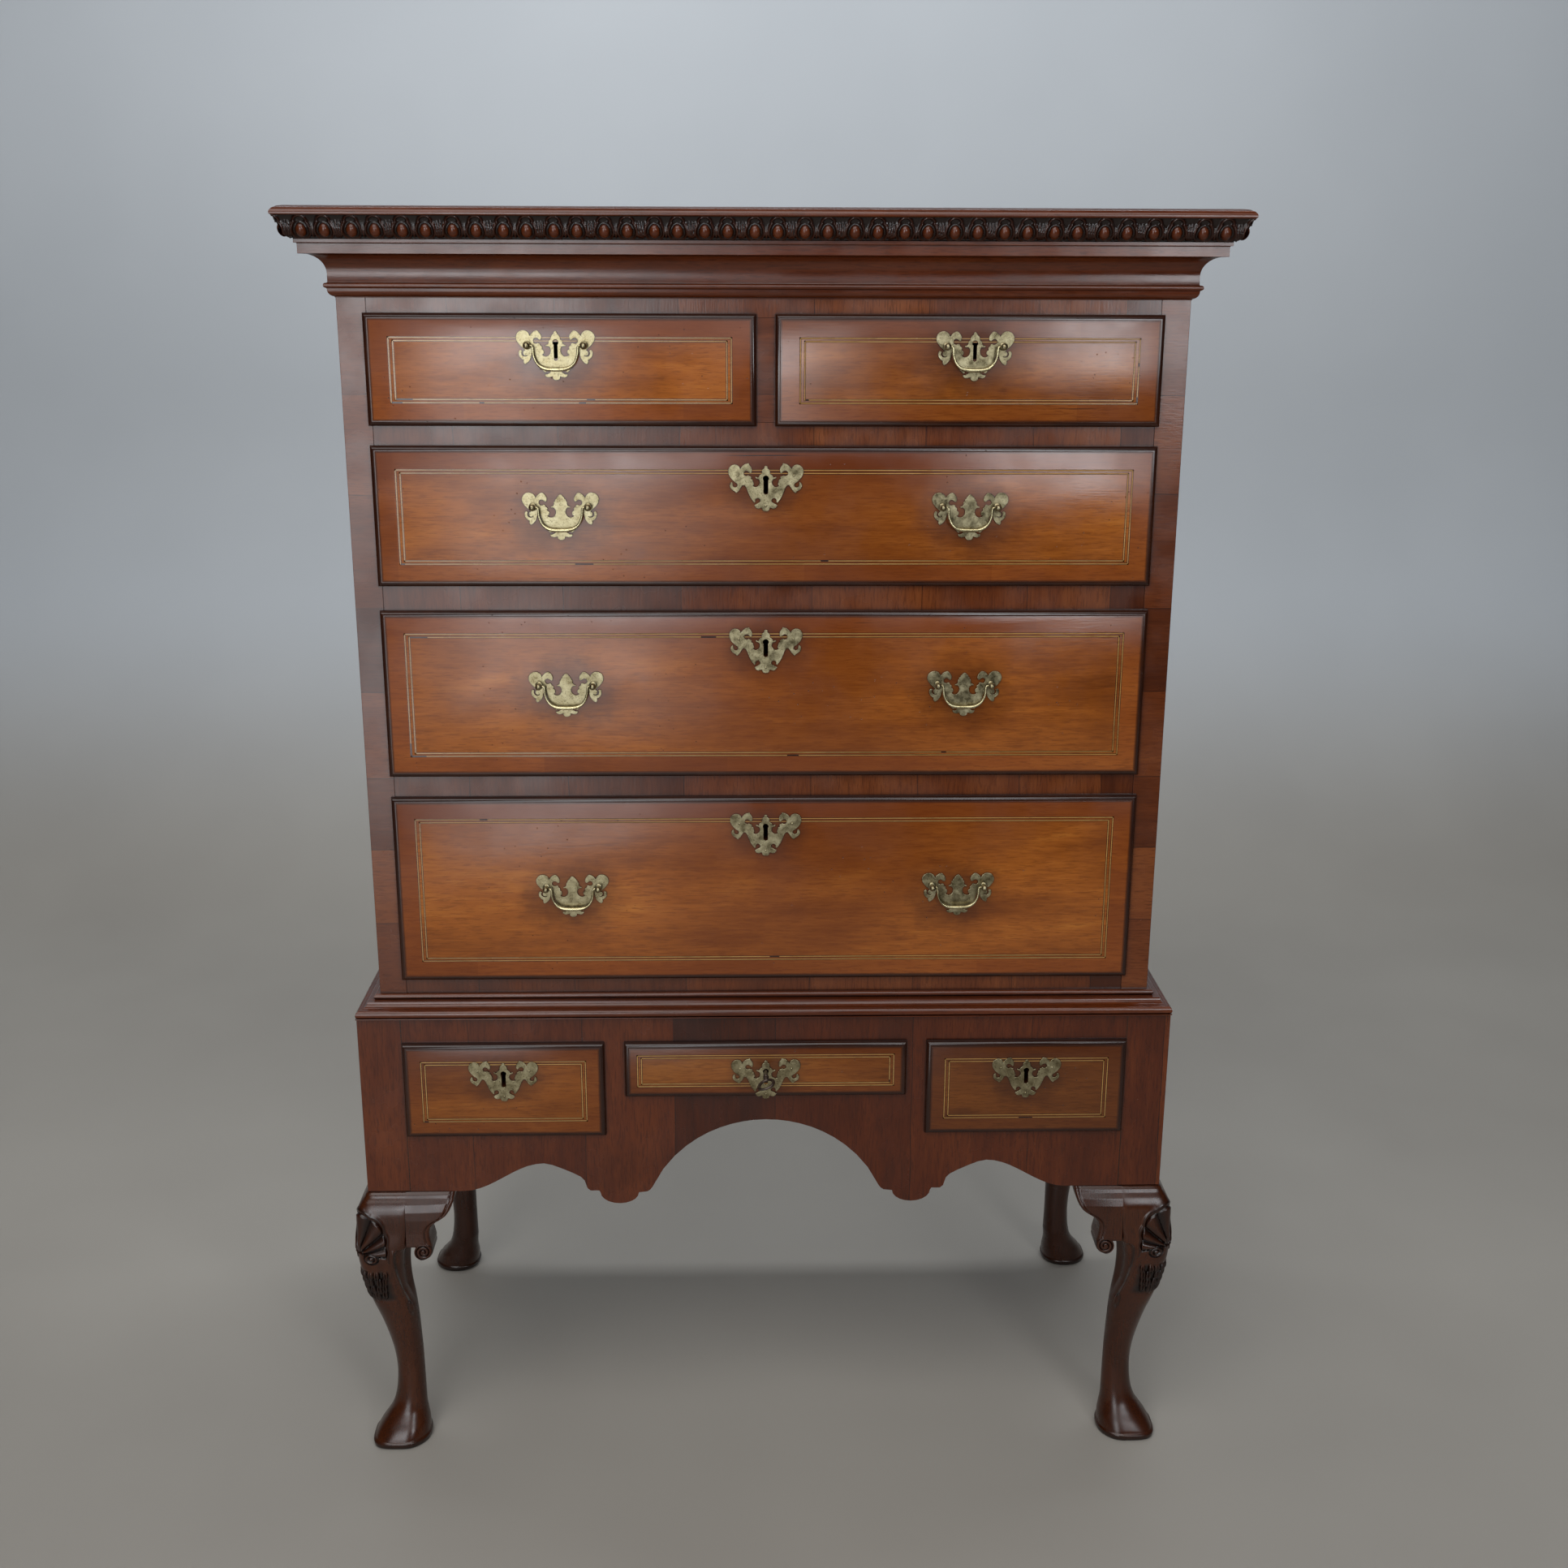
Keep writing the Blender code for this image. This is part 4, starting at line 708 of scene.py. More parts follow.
def knee_carving(u, z):
    """Relief and painted light and shade of the knee, its hollows painted dark: u is the distance round the corner
    from its middle, z the height.
    """
    relief = np.zeros(np.broadcast(u, z).shape)
    light = np.full_like(relief, 1.0)
    # a scallop shell that opens upwards and leans outwards
    rise = z - SHELL_FOOT
    r = np.hypot(u * 1.28, rise * 0.73)
    angle = np.arctan2(u, rise)
    wave = np.abs(np.cos(angle * SHELL_RIBS))
    rim = SHELL_RIM + 0.0020 * wave
    fan = (r < rim) & (np.abs(angle) < 1.75)
    rib = wave ** 0.7
    edge = np.clip((rim - r) / 0.0022, 0, 1)
    hub = np.clip(r / 0.010, 0, 1)
    relief = np.where(fan, (-0.0026 + 0.0052 * rib * hub) * edge - 0.0018 * (1 - edge), relief)
    light = np.where(fan, 0.08 + 0.62 * rib ** 2 * edge, light)
    lip = ridge(r - rim - 0.0030, 0.0022) * (np.abs(angle) < 1.9)
    relief = relief + 0.0016 * lip * (r >= rim)
    light = np.where((r >= rim) & (lip > 0.05), np.minimum(light, 1.0 - 0.65 * lip), light)
    for side in (-1, 1):
        d = np.hypot(u - side * SCROLL[0], z - SCROLL[1])
        curl = 0.0026 * ridge(d - 0.0052, 0.0015) + 0.0030 * bump_of(d / 0.0028)
        inside = d < 0.0085
        relief = np.where(inside, curl - 0.0014, relief)
        light = np.where(inside, 0.08 + 0.50 * (curl > 0.0014), light)
    # foliage below: ragged leaves in four tiers on a sunk ground
    wave = 0.06 * np.sin(u * 420) + 0.06 * np.sin(z * 390 + 1)
    ground = np.clip(1 + wave - np.maximum(np.abs(u) / 0.0350, np.abs(z - LEAF_MIDDLE) / 0.0275) ** 4, 0, 1)
    ground = ground * ground * (3 - 2 * ground)
    leaves = np.zeros_like(relief)
    for tier, (centre, wide, tall) in enumerate(LEAF_TIERS):
        for place in range(-3, 4):
            lean = place / 3
            axis = lean * wide + 0.0012 * math.sin(place * 2.7 + tier * 1.9)
            drop = abs(lean) * 0.0030 + 0.0012 * math.sin(place * 1.7 + tier)
            du = (u - axis - lean * 0.12 * (z - centre)) / 0.0034
            dz = (z - centre - drop) / tall
            leaf = bump_of(np.hypot(du, dz)) * (1 - 0.45 * ridge(du, 0.20))
            leaves = np.maximum(leaves, leaf)
    sunk = z < 0.2715
    relief = np.where(sunk, relief * (1 - ground) + ground * (-0.0020 + 0.0050 * leaves), relief)
    light = np.where(
        sunk & (ground > 0.05), np.minimum(light, 0.05 + 0.42 * leaves ** 2 + 0.9 * (1 - ground)), light,
    )
    return relief, light


def inner_return(a, z):
    """The inner corner is hollowed below the volute, with a bead along the hollow that ends in a small leaf."""
    leaf_turn = math.radians(141)
    border = math.radians(116) + math.radians(26) * np.clip((0.292 - z) / 0.085, 0, 1) ** 1.3
    reach = np.clip((0.3000 - z) / 0.006, 0, 1) * np.clip((z - 0.2020) / 0.030, 0, 1)
    past = a - border
    hollow = -0.0055 * np.clip(past / 0.16, 0, 1) * np.clip((math.radians(200) - a) / 0.4, 0, 1)
    bead = 0.0016 * ridge(past + 0.03, 0.045)
    leaf = np.hypot((a - leaf_turn) / 0.15, (z - 0.2030) / 0.0120)
    leaf_rise = 0.0034 * bump_of(leaf) * (1 - 0.4 * ridge(a - leaf_turn, 0.03))
    shade = 1.0 - 0.55 * reach * ridge(past - 0.05, 0.09) - 0.5 * (leaf < 1.25) * (leaf > 0.55)
    return reach * (hollow + bead) + leaf_rise, shade


def leg_mesh(name, side, end, corner_y, carved):
    """A cabriole leg as rings of rounded squares, each with its own reach and squareness."""
    runs = [np.linspace(0, 0.0100, 12), np.linspace(0.0105, 0.06, 28), np.linspace(0.0615, 0.195, 46)]
    runs += [np.linspace(0.1958, 0.345, 190 if carved else 50), np.linspace(0.3455, 0.3737, 26)]
    heights = np.concatenate(runs)
    dense = np.array(curve_points(LEG_TABLE, 8))
    dense = dense[np.argsort(dense[:, 0])]
    out, inner, p_out, p_in = [np.interp(heights, dense[:, 0], dense[:, k])[:, None] for k in range(1, 5)]
    if end > 0:
        share = heights[:, None] / FRAME_Z
        tuck = BACK_TUCK * np.clip((0.80 - share) / 0.30, 0, 1)
        out = out - tuck
        inner = inner + tuck * (1 - 0.75 * np.clip(1 - share / 0.16, 0, 1))
    if carved:
        stretches = ((-20, 112, 230), (112, 160, 60), (160, 340, 60))
        turn = np.concatenate([np.linspace(*stretch, endpoint=False) for stretch in stretches])
    else:
        turn = np.linspace(0, 360, 96, endpoint=False)
    a = np.radians(turn)[None, :]
    half = (out + inner) / 2
    middle = (inner - out) / 2
    power = p_in + (p_out - p_in) * np.clip(np.cos(a - math.pi / 4), 0, None) ** 2
    c, s = np.cos(a), np.sin(a)
    reach = half / (np.abs(c) ** power + np.abs(s) ** power) ** (1 / power)
    z = heights[:, None] + 0 * a
    light = np.ones_like(z)
    if carved:
        around = a - math.pi / 4
        u = around * reach * 0.92
        near = np.clip((1.30 - np.abs(around)) / 0.25, 0, 1)
        relief, light = knee_carving(u, z)
        relief = relief * near
        light = 1 - (1 - light) * near
        more, shade = inner_return(a, z)
        reach = reach + relief + more
        light = light * shade
    # the foot's rim is darker, fully so below 7.5 mm; the back legs are darkened all over as painted shade, as they
    # stand in shade under the chest
    light = light * (1 - 0.55 * np.clip((RIM_TOP - z) / 0.003, 0, 1)) * (1.0 if carved else 0.62)
    x = side * STAND_HALF + side * (reach * c - middle)
    y = corner_y + end * (reach * s - middle)
    x, y, z, light = np.broadcast_arrays(x, y, z, light)
    points = np.stack([x, y, z], -1).reshape(-1, 3)
    rows, columns = z.shape
    index = np.arange(rows * columns).reshape(rows, columns)
    quads = quads_of(index, np.roll(index, -1, axis=1))
    return carved_mesh(name, points, quads + [index[0][::-1].tolist(), index[-1].tolist()], light)


def carved_mesh(name, points, faces, light):
    """A closed mesh with its faces turned outwards."""
    data = lit_mesh(name, points, faces, light)
    shape = bmesh.new()
    shape.from_mesh(data)
    bmesh.ops.remove_doubles(shape, verts=shape.verts, dist=1e-6)
    shape.normal_update()
    bmesh.ops.recalc_face_normals(shape, faces=shape.faces[:])
    shape.to_mesh(data)
    shape.free()
    return data


EAR_EDGE = (
    (0.3737, 0.0565), (0.3680, 0.0558), (0.3620, 0.0543), (0.3560, 0.0520), (0.3500, 0.0490),
    (0.3445, 0.0450), (0.3405, 0.0396), (0.3372, 0.0335),
    (0.3335, 0.0286), (0.3290, 0.0250), (0.3230, 0.0232), (0.3160, 0.0236), (0.3100, 0.0250),
    (0.3040, 0.0263),
)
VOLUTE = (0.0148, 0.2958, 0.0116)  # across, height, radius


def ear_mesh(name, side, end, corner_y, face):
    """A knee bracket whose front carries the knee's curve on, with a rounded lower edge and a volute."""
    centre_x, centre_z, radius = VOLUTE
    heights = np.concatenate([
        np.linspace(centre_z - radius + 0.00002, 0.3100, 70), np.linspace(0.3104, 0.3737, 90),
    ])
    edge_line = np.array(EAR_EDGE)[::-1]
    chord = np.sqrt(np.clip(radius ** 2 - (heights - centre_z) ** 2, 1e-8, None))
    edge = np.where(heights > 0.3000, np.interp(heights, edge_line[:, 0], edge_line[:, 1]), centre_x + chord)
    start = np.where(heights > 0.3035, -0.0060, np.maximum(centre_x - chord, 0.0015))
    columns = 64
    x = start[:, None] + (edge - start)[:, None] * np.linspace(0, 1, columns)[None, :]
    z = heights[:, None] + 0 * x
    table = np.array(LEG_TABLE)
    out = np.interp(heights, table[:, 0], table[:, 1])[:, None]
    out = np.where(z < 0.306, 0.0172, out) * (1 - 0.22 * np.clip(x / 0.058, 0, 1) ** 2)
    side_gap = edge[:, None] - x
    near = np.clip(1 - side_gap / 0.0048, 0, 1)
    front = out - 0.0048 * (1 - np.sqrt(np.clip(1 - near ** 2, 0, 1)))
    r = np.hypot(z - centre_z, x - centre_x)
    angle = np.arctan2(z - centre_z, x - centre_x)
    spiral = (r / 0.0046 - angle / (2 * math.pi)) % 1.0
    groove = np.where((r < radius * 1.05) & (r > 0.0020), ridge(spiral - 0.5, 0.16), 0.0)
    groove = groove * np.clip((0.3080 - z) / 0.003, 0, 1)
    moulding = ridge(side_gap - 0.0060, 0.0011) * np.clip((z - 0.3060) / 0.004, 0, 1)
    front = front - 0.0018 * groove - 0.0010 * moulding
    # painted shade: the volute's groove and the moulding line are darkened
    light = 1.0 - 0.85 * groove - 0.45 * moulding
    back = np.full_like(front, -0.0200)

    def placed(depth):
        if face == "front":
            px, py = side * (POST_HALF - x), corner_y - depth
        else:
            px, py = side * (STAND_HALF + depth), corner_y - end * (STAND_HALF - POST_HALF) - end * x
        return np.stack([px, py, z], -1).reshape(-1, 3)

    points = np.concatenate([placed(front), placed(back)])
    index = np.arange(z.size).reshape(z.shape)
    other = index + z.size
    faces = quads_of(index) + quads_of(other)
    rim = np.concatenate([index[0, :], index[1:, -1], index[-1, -2::-1], index[-2:0:-1, 0]])
    far = rim + z.size
    faces += np.stack([rim, far, np.roll(far, -1), np.roll(rim, -1)], -1).tolist()
    return carved_mesh(name, points, faces, np.concatenate([light.reshape(-1), np.full(z.size, 1.0)]))


def legs():
    for name, side, end, corner_y, ears in (
        ("leg_front_left", -1, -1, STAND_Y, ("front", "side")),
        ("leg_front_right", 1, -1, STAND_Y, ("front", "side")),
        ("leg_back_left", -1, 1, CASE_BACK, ("side",)),
        ("leg_back_right", 1, 1, CASE_BACK, ("side",)),
    ):
        carved = end < 0
        leg = leg_mesh(name, side, end, corner_y, carved)
        new_object(f"{name}_turned", leg, LEG, "chest", [name], 50)
        shape = bmesh.new()
        post = STAND_HALF - POST_HALF - GAP
        xs = sorted((side * STAND_HALF, side * (STAND_HALF - post)))
        ys = sorted((corner_y, corner_y - end * post))
        box_into(shape, (xs[0], ys[0], FRAME_Z + 0.0002), (xs[1], ys[1], STAND_TOP))
        soften(new_object(f"{name}_post", shape, APRON, "chest", (), 30), 0.0008)
        if carved:
            # the joint between the post and the apron
            inner = side * (STAND_HALF - post)
            low = (inner - 0.0006, corner_y - 0.00012, FRAME_Z + 0.001)
            shape = bmesh.new()
            box_into(shape, low, (inner + 0.0006, corner_y + 0.0010, STAND_TOP - 0.001))
            new_object(f"{name}_joint", shape, EBONY, "chest")
        for face in ears:
            ear = ear_mesh(f"{name}_ear_{face}", side, end, corner_y, face)
            new_object(f"{name}_ear_{face}", ear, LEG, "chest", (), 40)


# ---------------------------------------------------------------- drawer fronts
LIP_OVERLAP = 0.0045
BRASS_THICKNESS = 0.0013
POST_SPACING = 0.0635


KEYHOLE = (0.0033, 0.0048, 0.0178)  # radius, slot width, length below the round part
LOCK_RECESS = 0.0115
LOCK_RECESS_DEPTH = 0.0090
LIP_BACK = 0.0022
LIP_ROUND = 0.0056


def lathe_into(shape, x, y, z, profile, sides=28):
    """profile is (radius, distance from the plate); the axis points towards -y."""
    turns = [2 * math.pi * k / sides for k in range(sides)]
    loft_into(
        shape, [[(x + r * math.cos(a), y - d, z + r * math.sin(a)) for a in turns] for r, d in profile],
    )


def keyhole_loop(radius, slot, length, count=16):
    start = math.degrees(math.asin(slot / 2 / radius))
    return circle(
        0, 0, radius, -90 + start, 270 - start, count,
    ) + circle(0, -length + slot / 2, slot / 2, 180, 360, 8)


def front_mesh(name, rect, y_back, y_frame, y_face, holes, recesses):
    """A drawer front with its rounded lip, cut through at the keyholes and hollowed at the lock recesses."""
    left, right, low, high = rect

    def ring(inset, y):
        return [
            (left + inset, y, low + inset), (right - inset, y, low + inset),
            (right - inset, y, high - inset), (left + inset, y, high - inset),
        ]

    body = LIP_OVERLAP + 0.001
    rings = [
        ring(body, y_back), ring(body, y_frame - GAP), ring(0.0, y_frame - GAP),
        ring(0.0, y_frame - LIP_BACK),
    ]
    depth = y_frame - LIP_BACK - (y_face + 0.0010)
    for i in range(1, 9):
        angle = math.pi / 2 * i / 8
        rings.append(ring(LIP_ROUND * (1 - math.cos(angle)), y_frame - LIP_BACK - depth * math.sin(angle)))
    rings += [ring(0.0059, y_face + 0.0010), ring(0.0061, y_face + 0.0001), ring(0.0064, y_face)]
    shape = bmesh.new()
    loft_into(shape, rings)
    thing = linked(name, mesh_of(shape, name))
    cutters = []
    for x, z in holes:
        cut = plate_mesh("cut", [[(x + a, z + u) for a, u in keyhole_loop(*KEYHOLE)]], 0.06, 0.0)
        cutters.append((cut, y_back + 0.02))
    for x, z in recesses:
        shape = bmesh.new()
        lathe_into(shape, x, 0, z, [(LOCK_RECESS, LOCK_RECESS_DEPTH), (LOCK_RECESS, -0.010)], 32)
        cutters.append((mesh_of(shape, "recess"), y_back))
    for cut, y_cut in cutters:
        weld = bmesh.new()
        weld.from_mesh(cut)
        bmesh.ops.remove_doubles(weld, verts=weld.verts, dist=1e-6)
        weld.transform(Matrix.Translation((0, y_cut, 0)))
        weld.normal_update()
        bmesh.ops.recalc_face_normals(weld, faces=weld.faces[:])
        weld.to_mesh(cut)
        weld.free()
        cutter = linked("cut", cut)
        modifier = thing.modifiers.new("keyhole", "BOOLEAN")
        modifier.object = cutter
        modifier.solver = "EXACT"
        bpy.context.view_layer.update()
        made = bpy.data.meshes.new_from_object(thing.evaluated_get(bpy.context.evaluated_depsgraph_get()))
        thing.modifiers.clear()
        thing.data = made
        bpy.data.objects.remove(cutter, do_unlink=True)
    made = thing.data
    bpy.data.objects.remove(thing, do_unlink=True)
    return made


def stringing(name, rect, insets, gaps, y_face, body):
    """Two pale lines, each with a thin dark one on both sides. Short lengths are lost and filled with dirt."""
    left, right, low, high = rect
    side_inset, end_inset = insets
    side_gap, end_gap = gaps
    pale, dark = bmesh.new(), bmesh.new()

    def strip(shape, offset, width, side, start, stop, rise):
        level = side in ("low", "high")
        inset = end_inset + offset[1] if level else side_inset + offset[0]
        place = {
            "low": low + inset, "high": high - inset, "left": left + inset, "right": right - inset,
        }[side]
        if level:
            box_into(
                shape, (start, y_face - rise, place - width / 2), (stop, y_face + 0.0002, place + width / 2),
            )
        else:
            box_into(
                shape, (place - width / 2, y_face - rise, start), (place + width / 2, y_face + 0.0002, stop),
            )

    for side in ("low", "high", "left", "right"):
        level = side in ("low", "high")
        for lane in (0, 1):
            for width, shape, rise in ((0.0022, dark, 0.00004), (0.0009, pale, 0.00012)):
                offset = (lane * side_gap, lane * end_gap)
                first = left + side_inset + offset[0] if level else low + end_inset + offset[1]
                last = right - side_inset - offset[0] if level else high - end_inset - offset[1]
                place = first - width / 2
                while place < last:
                    stop = min(place + dice.uniform(0.03, 0.22), last + width / 2)
                    if shape is pale and dice.random() < (0.16 if side == "low" else 0.07):
                        gap = min(stop, place + dice.uniform(0.004, 0.022))
                        strip(dark, offset, width * dice.uniform(1.0, 2.4), side, place, gap, 0.00006)
                        place = gap
                    if place < stop:
                        strip(shape, offset, width, side, place, stop, rise)
                    place = stop
    new_object(f"{name}_string_pale", pale, BOXWOOD, body)
    new_object(f"{name}_string_dark", dark, EBONY, body)


# ---------------------------------------------------------------- brasses
def half_outline(parts):
    """Smooth runs joined at sharp corners; every run is a list of points in millimetres."""
    out = []
    for part in parts:
        run = curve_points(part, 4) if len(part) > 2 else [tuple(p) for p in part]
        out += run if not out else run[1:] if np.hypot(
            run[0][0] - out[-1][0], run[0][1] - out[-1][1],
        ) < 0.05 else run
    return [(a / 1000, u / 1000) for a, u in out]


def whole(half):
    left = [(-a, u) for a, u in reversed(half) if abs(a) > 1e-6]
    return half + left


TREE = [
    [(0, 14.2), (1.6, 13.6), (3.4, 11.4)], [(3.4, 11.4), (4.4, 10.8), (4.8, 9.2)],
    [(4.8, 9.2), (6.0, 8.4), (6.4, 6.4)], [(6.4, 6.4), (7.6, 5.4), (7.6, 3.0)],
    [(7.6, 3.0), (8.6, 1.2), (11.0, 0.2)], [(11.0, 0.2), (11.0, -0.8), (8.2, -0.9), (7.0, -2.0)],
]
KEYED_TREE = [
    [(0, 15.6), (1.5, 14.8), (2.2, 12.8), (3.6, 11.6)], [(3.6, 11.6), (5.0, 9.4), (5.6, 6.4)],
    [(5.6, 6.4), (7.6, 5.0), (7.8, 2.6)],
    [(7.8, 2.6), (9.2, 0.9), (11.6, 0.2)], [(11.6, 0.2), (11.0, -1.0), (7.6, -1.2), (6.4, -2.4)],
]
PLATE_SIDE = [
    [(6.6, -2.2), (5.6, -5.2), (6.4, -9.0), (9.2, -11.8), (12.6, -12.0), (15.2, -10.4)],
    [(15.2, -10.4), (13.2, -8.6), (13.2, -5.8), (15.4, -4.2)], [(15.4, -4.2), (15.0, -1.6), (17.2, 0.2)],
    [(17.2, 0.2), (17.6, 2.0), (19.2, 2.4)],
    [(19.2, 2.4)] + circle(21.6, 4.9, 3.2, 225, 505, 9),
    [(18.9, 6.7), (17.2, 5.8), (15.6, 7.4), (15.8, 11.0), (18.2, 14.4)],
    [(18.2, 14.4), (19.4, 15.6), (21.0, 16.2), (24.2, 15.0), (26.8, 12.6), (28.4, 10.4)],
    [(28.4, 10.4), (30.0, 13.6), (33.4, 16.0), (37.6, 16.2), (41.6, 14.2),
     (44.0, 10.2), (43.8, 6.0), (41.4, 1.8), (38.4, -1.4), (35.6, -3.6)],
    [(35.6, -3.6)] + circle(33.6, -8.4, 3.0, 75, -130, 7) + [
        (32.8, -12.0), (36.4, -11.8), (38.4, -9.0), (37.6, -6.0),
    ],
    [(37.6, -6.0), (39.6, -5.2), (41.4, -7.2),
     (41.0, -11.6), (38.4, -14.8), (36.0, -16.0)],
    [(36.0, -16.0), (36.4, -18.4), (34.8, -20.8)],
    [(34.8, -20.8), (31.4, -18.8), (28.4, -15.0), (27.0, -10.4), (26.2, -7.0)],
    [(26.2, -7.0), (24.2, -8.6), (22.6, -12.6), (21.0, -18.0), (18.4, -23.4), (14.8, -27.6), (12.4, -30.0)],
    [(12.4, -30.0), (11.6, -28.8)] + circle(9.0, -27.8, 2.8, -20, 265, 8),
    [(8.8, -30.8), (10.4, -31.6), (13.0, -31.6)],
    [(13.0, -31.6), (12.2, -33.8), (9.2, -35.2), (6.4, -34.6), (4.4, -34.2)],
    [(4.4, -34.2), (4.0, -36.4), (2.2, -37.9), (0, -38.3)],
]


ESCUTCHEON_TREE = [
    [(0, 14.6), (1.7, 13.8), (2.0, 11.4)], [(2.0, 11.4), (4.0, 10.2), (4.8, 7.4)],
    [(4.8, 7.4), (4.8, 5.6), (7.4, 3.6), (8.4, 1.4)],
    [(8.4, 1.4), (9.4, 1.2), (11.4, 2.2), (12.0, 1.2)], [(12.0, 1.2), (10.6, 0.0), (8.6, -0.4), (7.2, -2.6)],
]
ESCUTCHEON_SIDE = [
    [(7.2, -2.6), (7.2, -5.6), (9.0, -8.4), (12.0, -9.6), (15.2, -8.4)],
    [(15.2, -8.4), (13.8, -6.2), (14.6, -3.6)], [(14.6, -3.6), (15.2, -1.2), (17.2, -0.4)],
    [(17.2, -0.4), (16.8, 2.0), (19.4, 3.2)],
    [(19.4, 3.2)] + circle(22.4, 6.1, 3.1, 225, 505, 9),
    [(19.8, 8.0), (17.6, 6.2), (16.2, 8.4), (16.6, 12.4), (19.0, 15.4)],
    [(19.0, 15.4), (19.8, 17.4), (21.6, 17.0), (24.6, 16.2), (27.4, 13.8), (29.4, 11.0)],
    [(29.4, 11.0), (31.0, 14.0), (34.2, 15.8), (38.0, 15.6), (41.6, 13.0),
     (43.2, 9.0), (42.6, 4.8), (40.4, 0.8), (37.8, -2.0), (35.6, -4.0)],
    [(35.6, -4.0)] + circle(35.4, -7.2, 2.8, 110, 360, 8),
    [(38.2, -6.6), (38.8, -4.2), (40.4, -4.8), (41.6, -7.4), (40.6, -10.8), (37.4, -13.6)],
    [(37.4, -13.6), (35.8, -14.4), (34.0, -16.4)],
    [(34.0, -16.4), (31.0, -13.6), (28.8, -10.2), (27.0, -7.6)],
    [(27.0, -7.6), (24.6, -7.6), (22.4, -10.6), (20.4, -15.6), (18.0, -21.0), (15.2, -25.2), (13.4, -27.4)],
    [(13.4, -27.4), (12.2, -26.4)] + circle(9.4, -25.0, 2.9, -20, 265, 8),
    [(9.2, -28.2), (11.0, -29.0), (13.2, -30.4)],
    [(13.2, -30.4), (11.6, -33.0), (8.6, -34.2), (5.8, -33.2), (4.4, -33.4)],
    [(4.4, -33.4), (4.0, -35.6), (2.2, -37.0), (0, -37.2)],
]


def placed_plate(name, loops, x, y, z):
    data = plate_mesh(name, loops, BRASS_THICKNESS, 0.00032)
    data.transform(Matrix.Translation((x, y, z)))
    return data


def merged(data, shape, name):
    """Adds a bmesh's faces to mesh data."""
    whole_shape = bmesh.new()
    whole_shape.from_mesh(data)
    extra = bpy.data.meshes.new("extra")
    shape.normal_update()
    bmesh.ops.recalc_face_normals(shape, faces=shape.faces[:])
    shape.to_mesh(extra)
    shape.free()
    whole_shape.from_mesh(extra)
    result = bpy.data.meshes.new(name)
    whole_shape.to_mesh(result)
    whole_shape.free()
    return result


POST_PROFILE = [(0.0046, 0.0), (0.0046, 0.0006), (0.0041, 0.0012), (0.0030, 0.0016), (0.0029, 0.0060)]


def handle(label, body, keyed):
    """A fretted plate with its posts, and the bail that hangs from them."""
    x, pivot_y, z = JOINTS[f"{label}_bail_hinge"]
    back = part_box(f"{label}_handle_plate")[1].y
    half = half_outline((KEYED_TREE if keyed else TREE) + PLATE_SIDE)
    loops = [whole(half)]
    if keyed:
        loops.append([(a, u + 0.0032) for a, u in keyhole_loop(0.0032, 0.0040, 0.0200)])
    data = placed_plate(f"{label}_fret", loops, x, back, z)
    front = back - BRASS_THICKNESS
    shape = bmesh.new()
    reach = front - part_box(f"{label}_handle_plate")[0].y
    ball = [
        (0.0039 * math.cos(math.radians(a)), reach - 0.0039 + 0.0039 * math.sin(math.radians(a)))
        for a in range(-48, 86, 8)
    ]
    for side in (-1, 1):
        lathe_into(shape, x + side * POST_SPACING / 2, front, z, POST_PROFILE + ball)
    new_object(
        f"{label}_fret_plate", merged(data, shape, label), BRASS, body,
        [f"{label}_handle_plate"], 32,
    )
    bail_body = f"{label}_bail"
    points = [
        (POST_SPACING / 2 - 0.0018, 0.0, 0.95), (0.0278, 0.0, 1.0), (0.0262, -0.0004, 1.15),
        (0.0252, -0.0022, 1.3), (0.0250, -0.0055, 1.35),
    ]
    for i in range(1, 13):
        angle = math.pi / 2 * i / 12
        swell = 1.35 + 0.85 * math.sin(angle) ** 5
        points.append((
            0.0250 * math.cos(angle) ** 0.60, -0.0055 - (0.0262 - 0.0055) * math.sin(angle) ** 1.05, swell,
        ))
    ring = [(-a, u, r) for a, u, r in points] + [(a, u, r) for a, u, r in reversed(points[:-1])]
    ring = curve_points(ring, 3)
    curve = bpy.data.curves.new("bail", "CURVE")
    curve.dimensions = "3D"
    curve.bevel_depth = 0.001
    curve.bevel_resolution = 4
    curve.use_fill_caps = True
    spline = curve.splines.new("POLY")
    spline.points.add(len(ring) - 1)
    for point, (across, up, radius) in zip(spline.points, ring):
        point.co = (x + across, pivot_y, z + up, 1)
        point.radius = radius
    new_object(
        f"{label}_bail_ring", curve_mesh(curve), BRASS_RUBBED, bail_body, [bail_body], 60,
    )


def escutcheon(name, x, z, y_face):
    """A fretted plate with a keyhole, held by three pins."""
    back = y_face - GAP
    front = back - BRASS_THICKNESS
    half = half_outline(ESCUTCHEON_TREE + ESCUTCHEON_SIDE)
    holes = keyhole_loop(0.0034, 0.0052, 0.0182)
    data = placed_plate(f"{name}_fret", [whole(half), holes], x, back, z)
    shape = bmesh.new()
    angles = [math.pi / 2 * i / 5 for i in range(5)]
    dome = [(0.0015 * math.cos(a), 0.0008 * math.sin(a)) for a in angles]
    for across, up in ((-0.0322, 0.0035), (0.0322, 0.0035), (0.0, -0.0310)):
        lathe_into(shape, x + across, front + 0.0001, z + up, dome, 14)
    new_object(
        f"{name}_fret", merged(data, shape, name), BRASS, name, [f"{name}_escutcheon"], 32,
    )


# ---------------------------------------------------------------- drawers
ESCUTCHEON_DROP = 0.0370
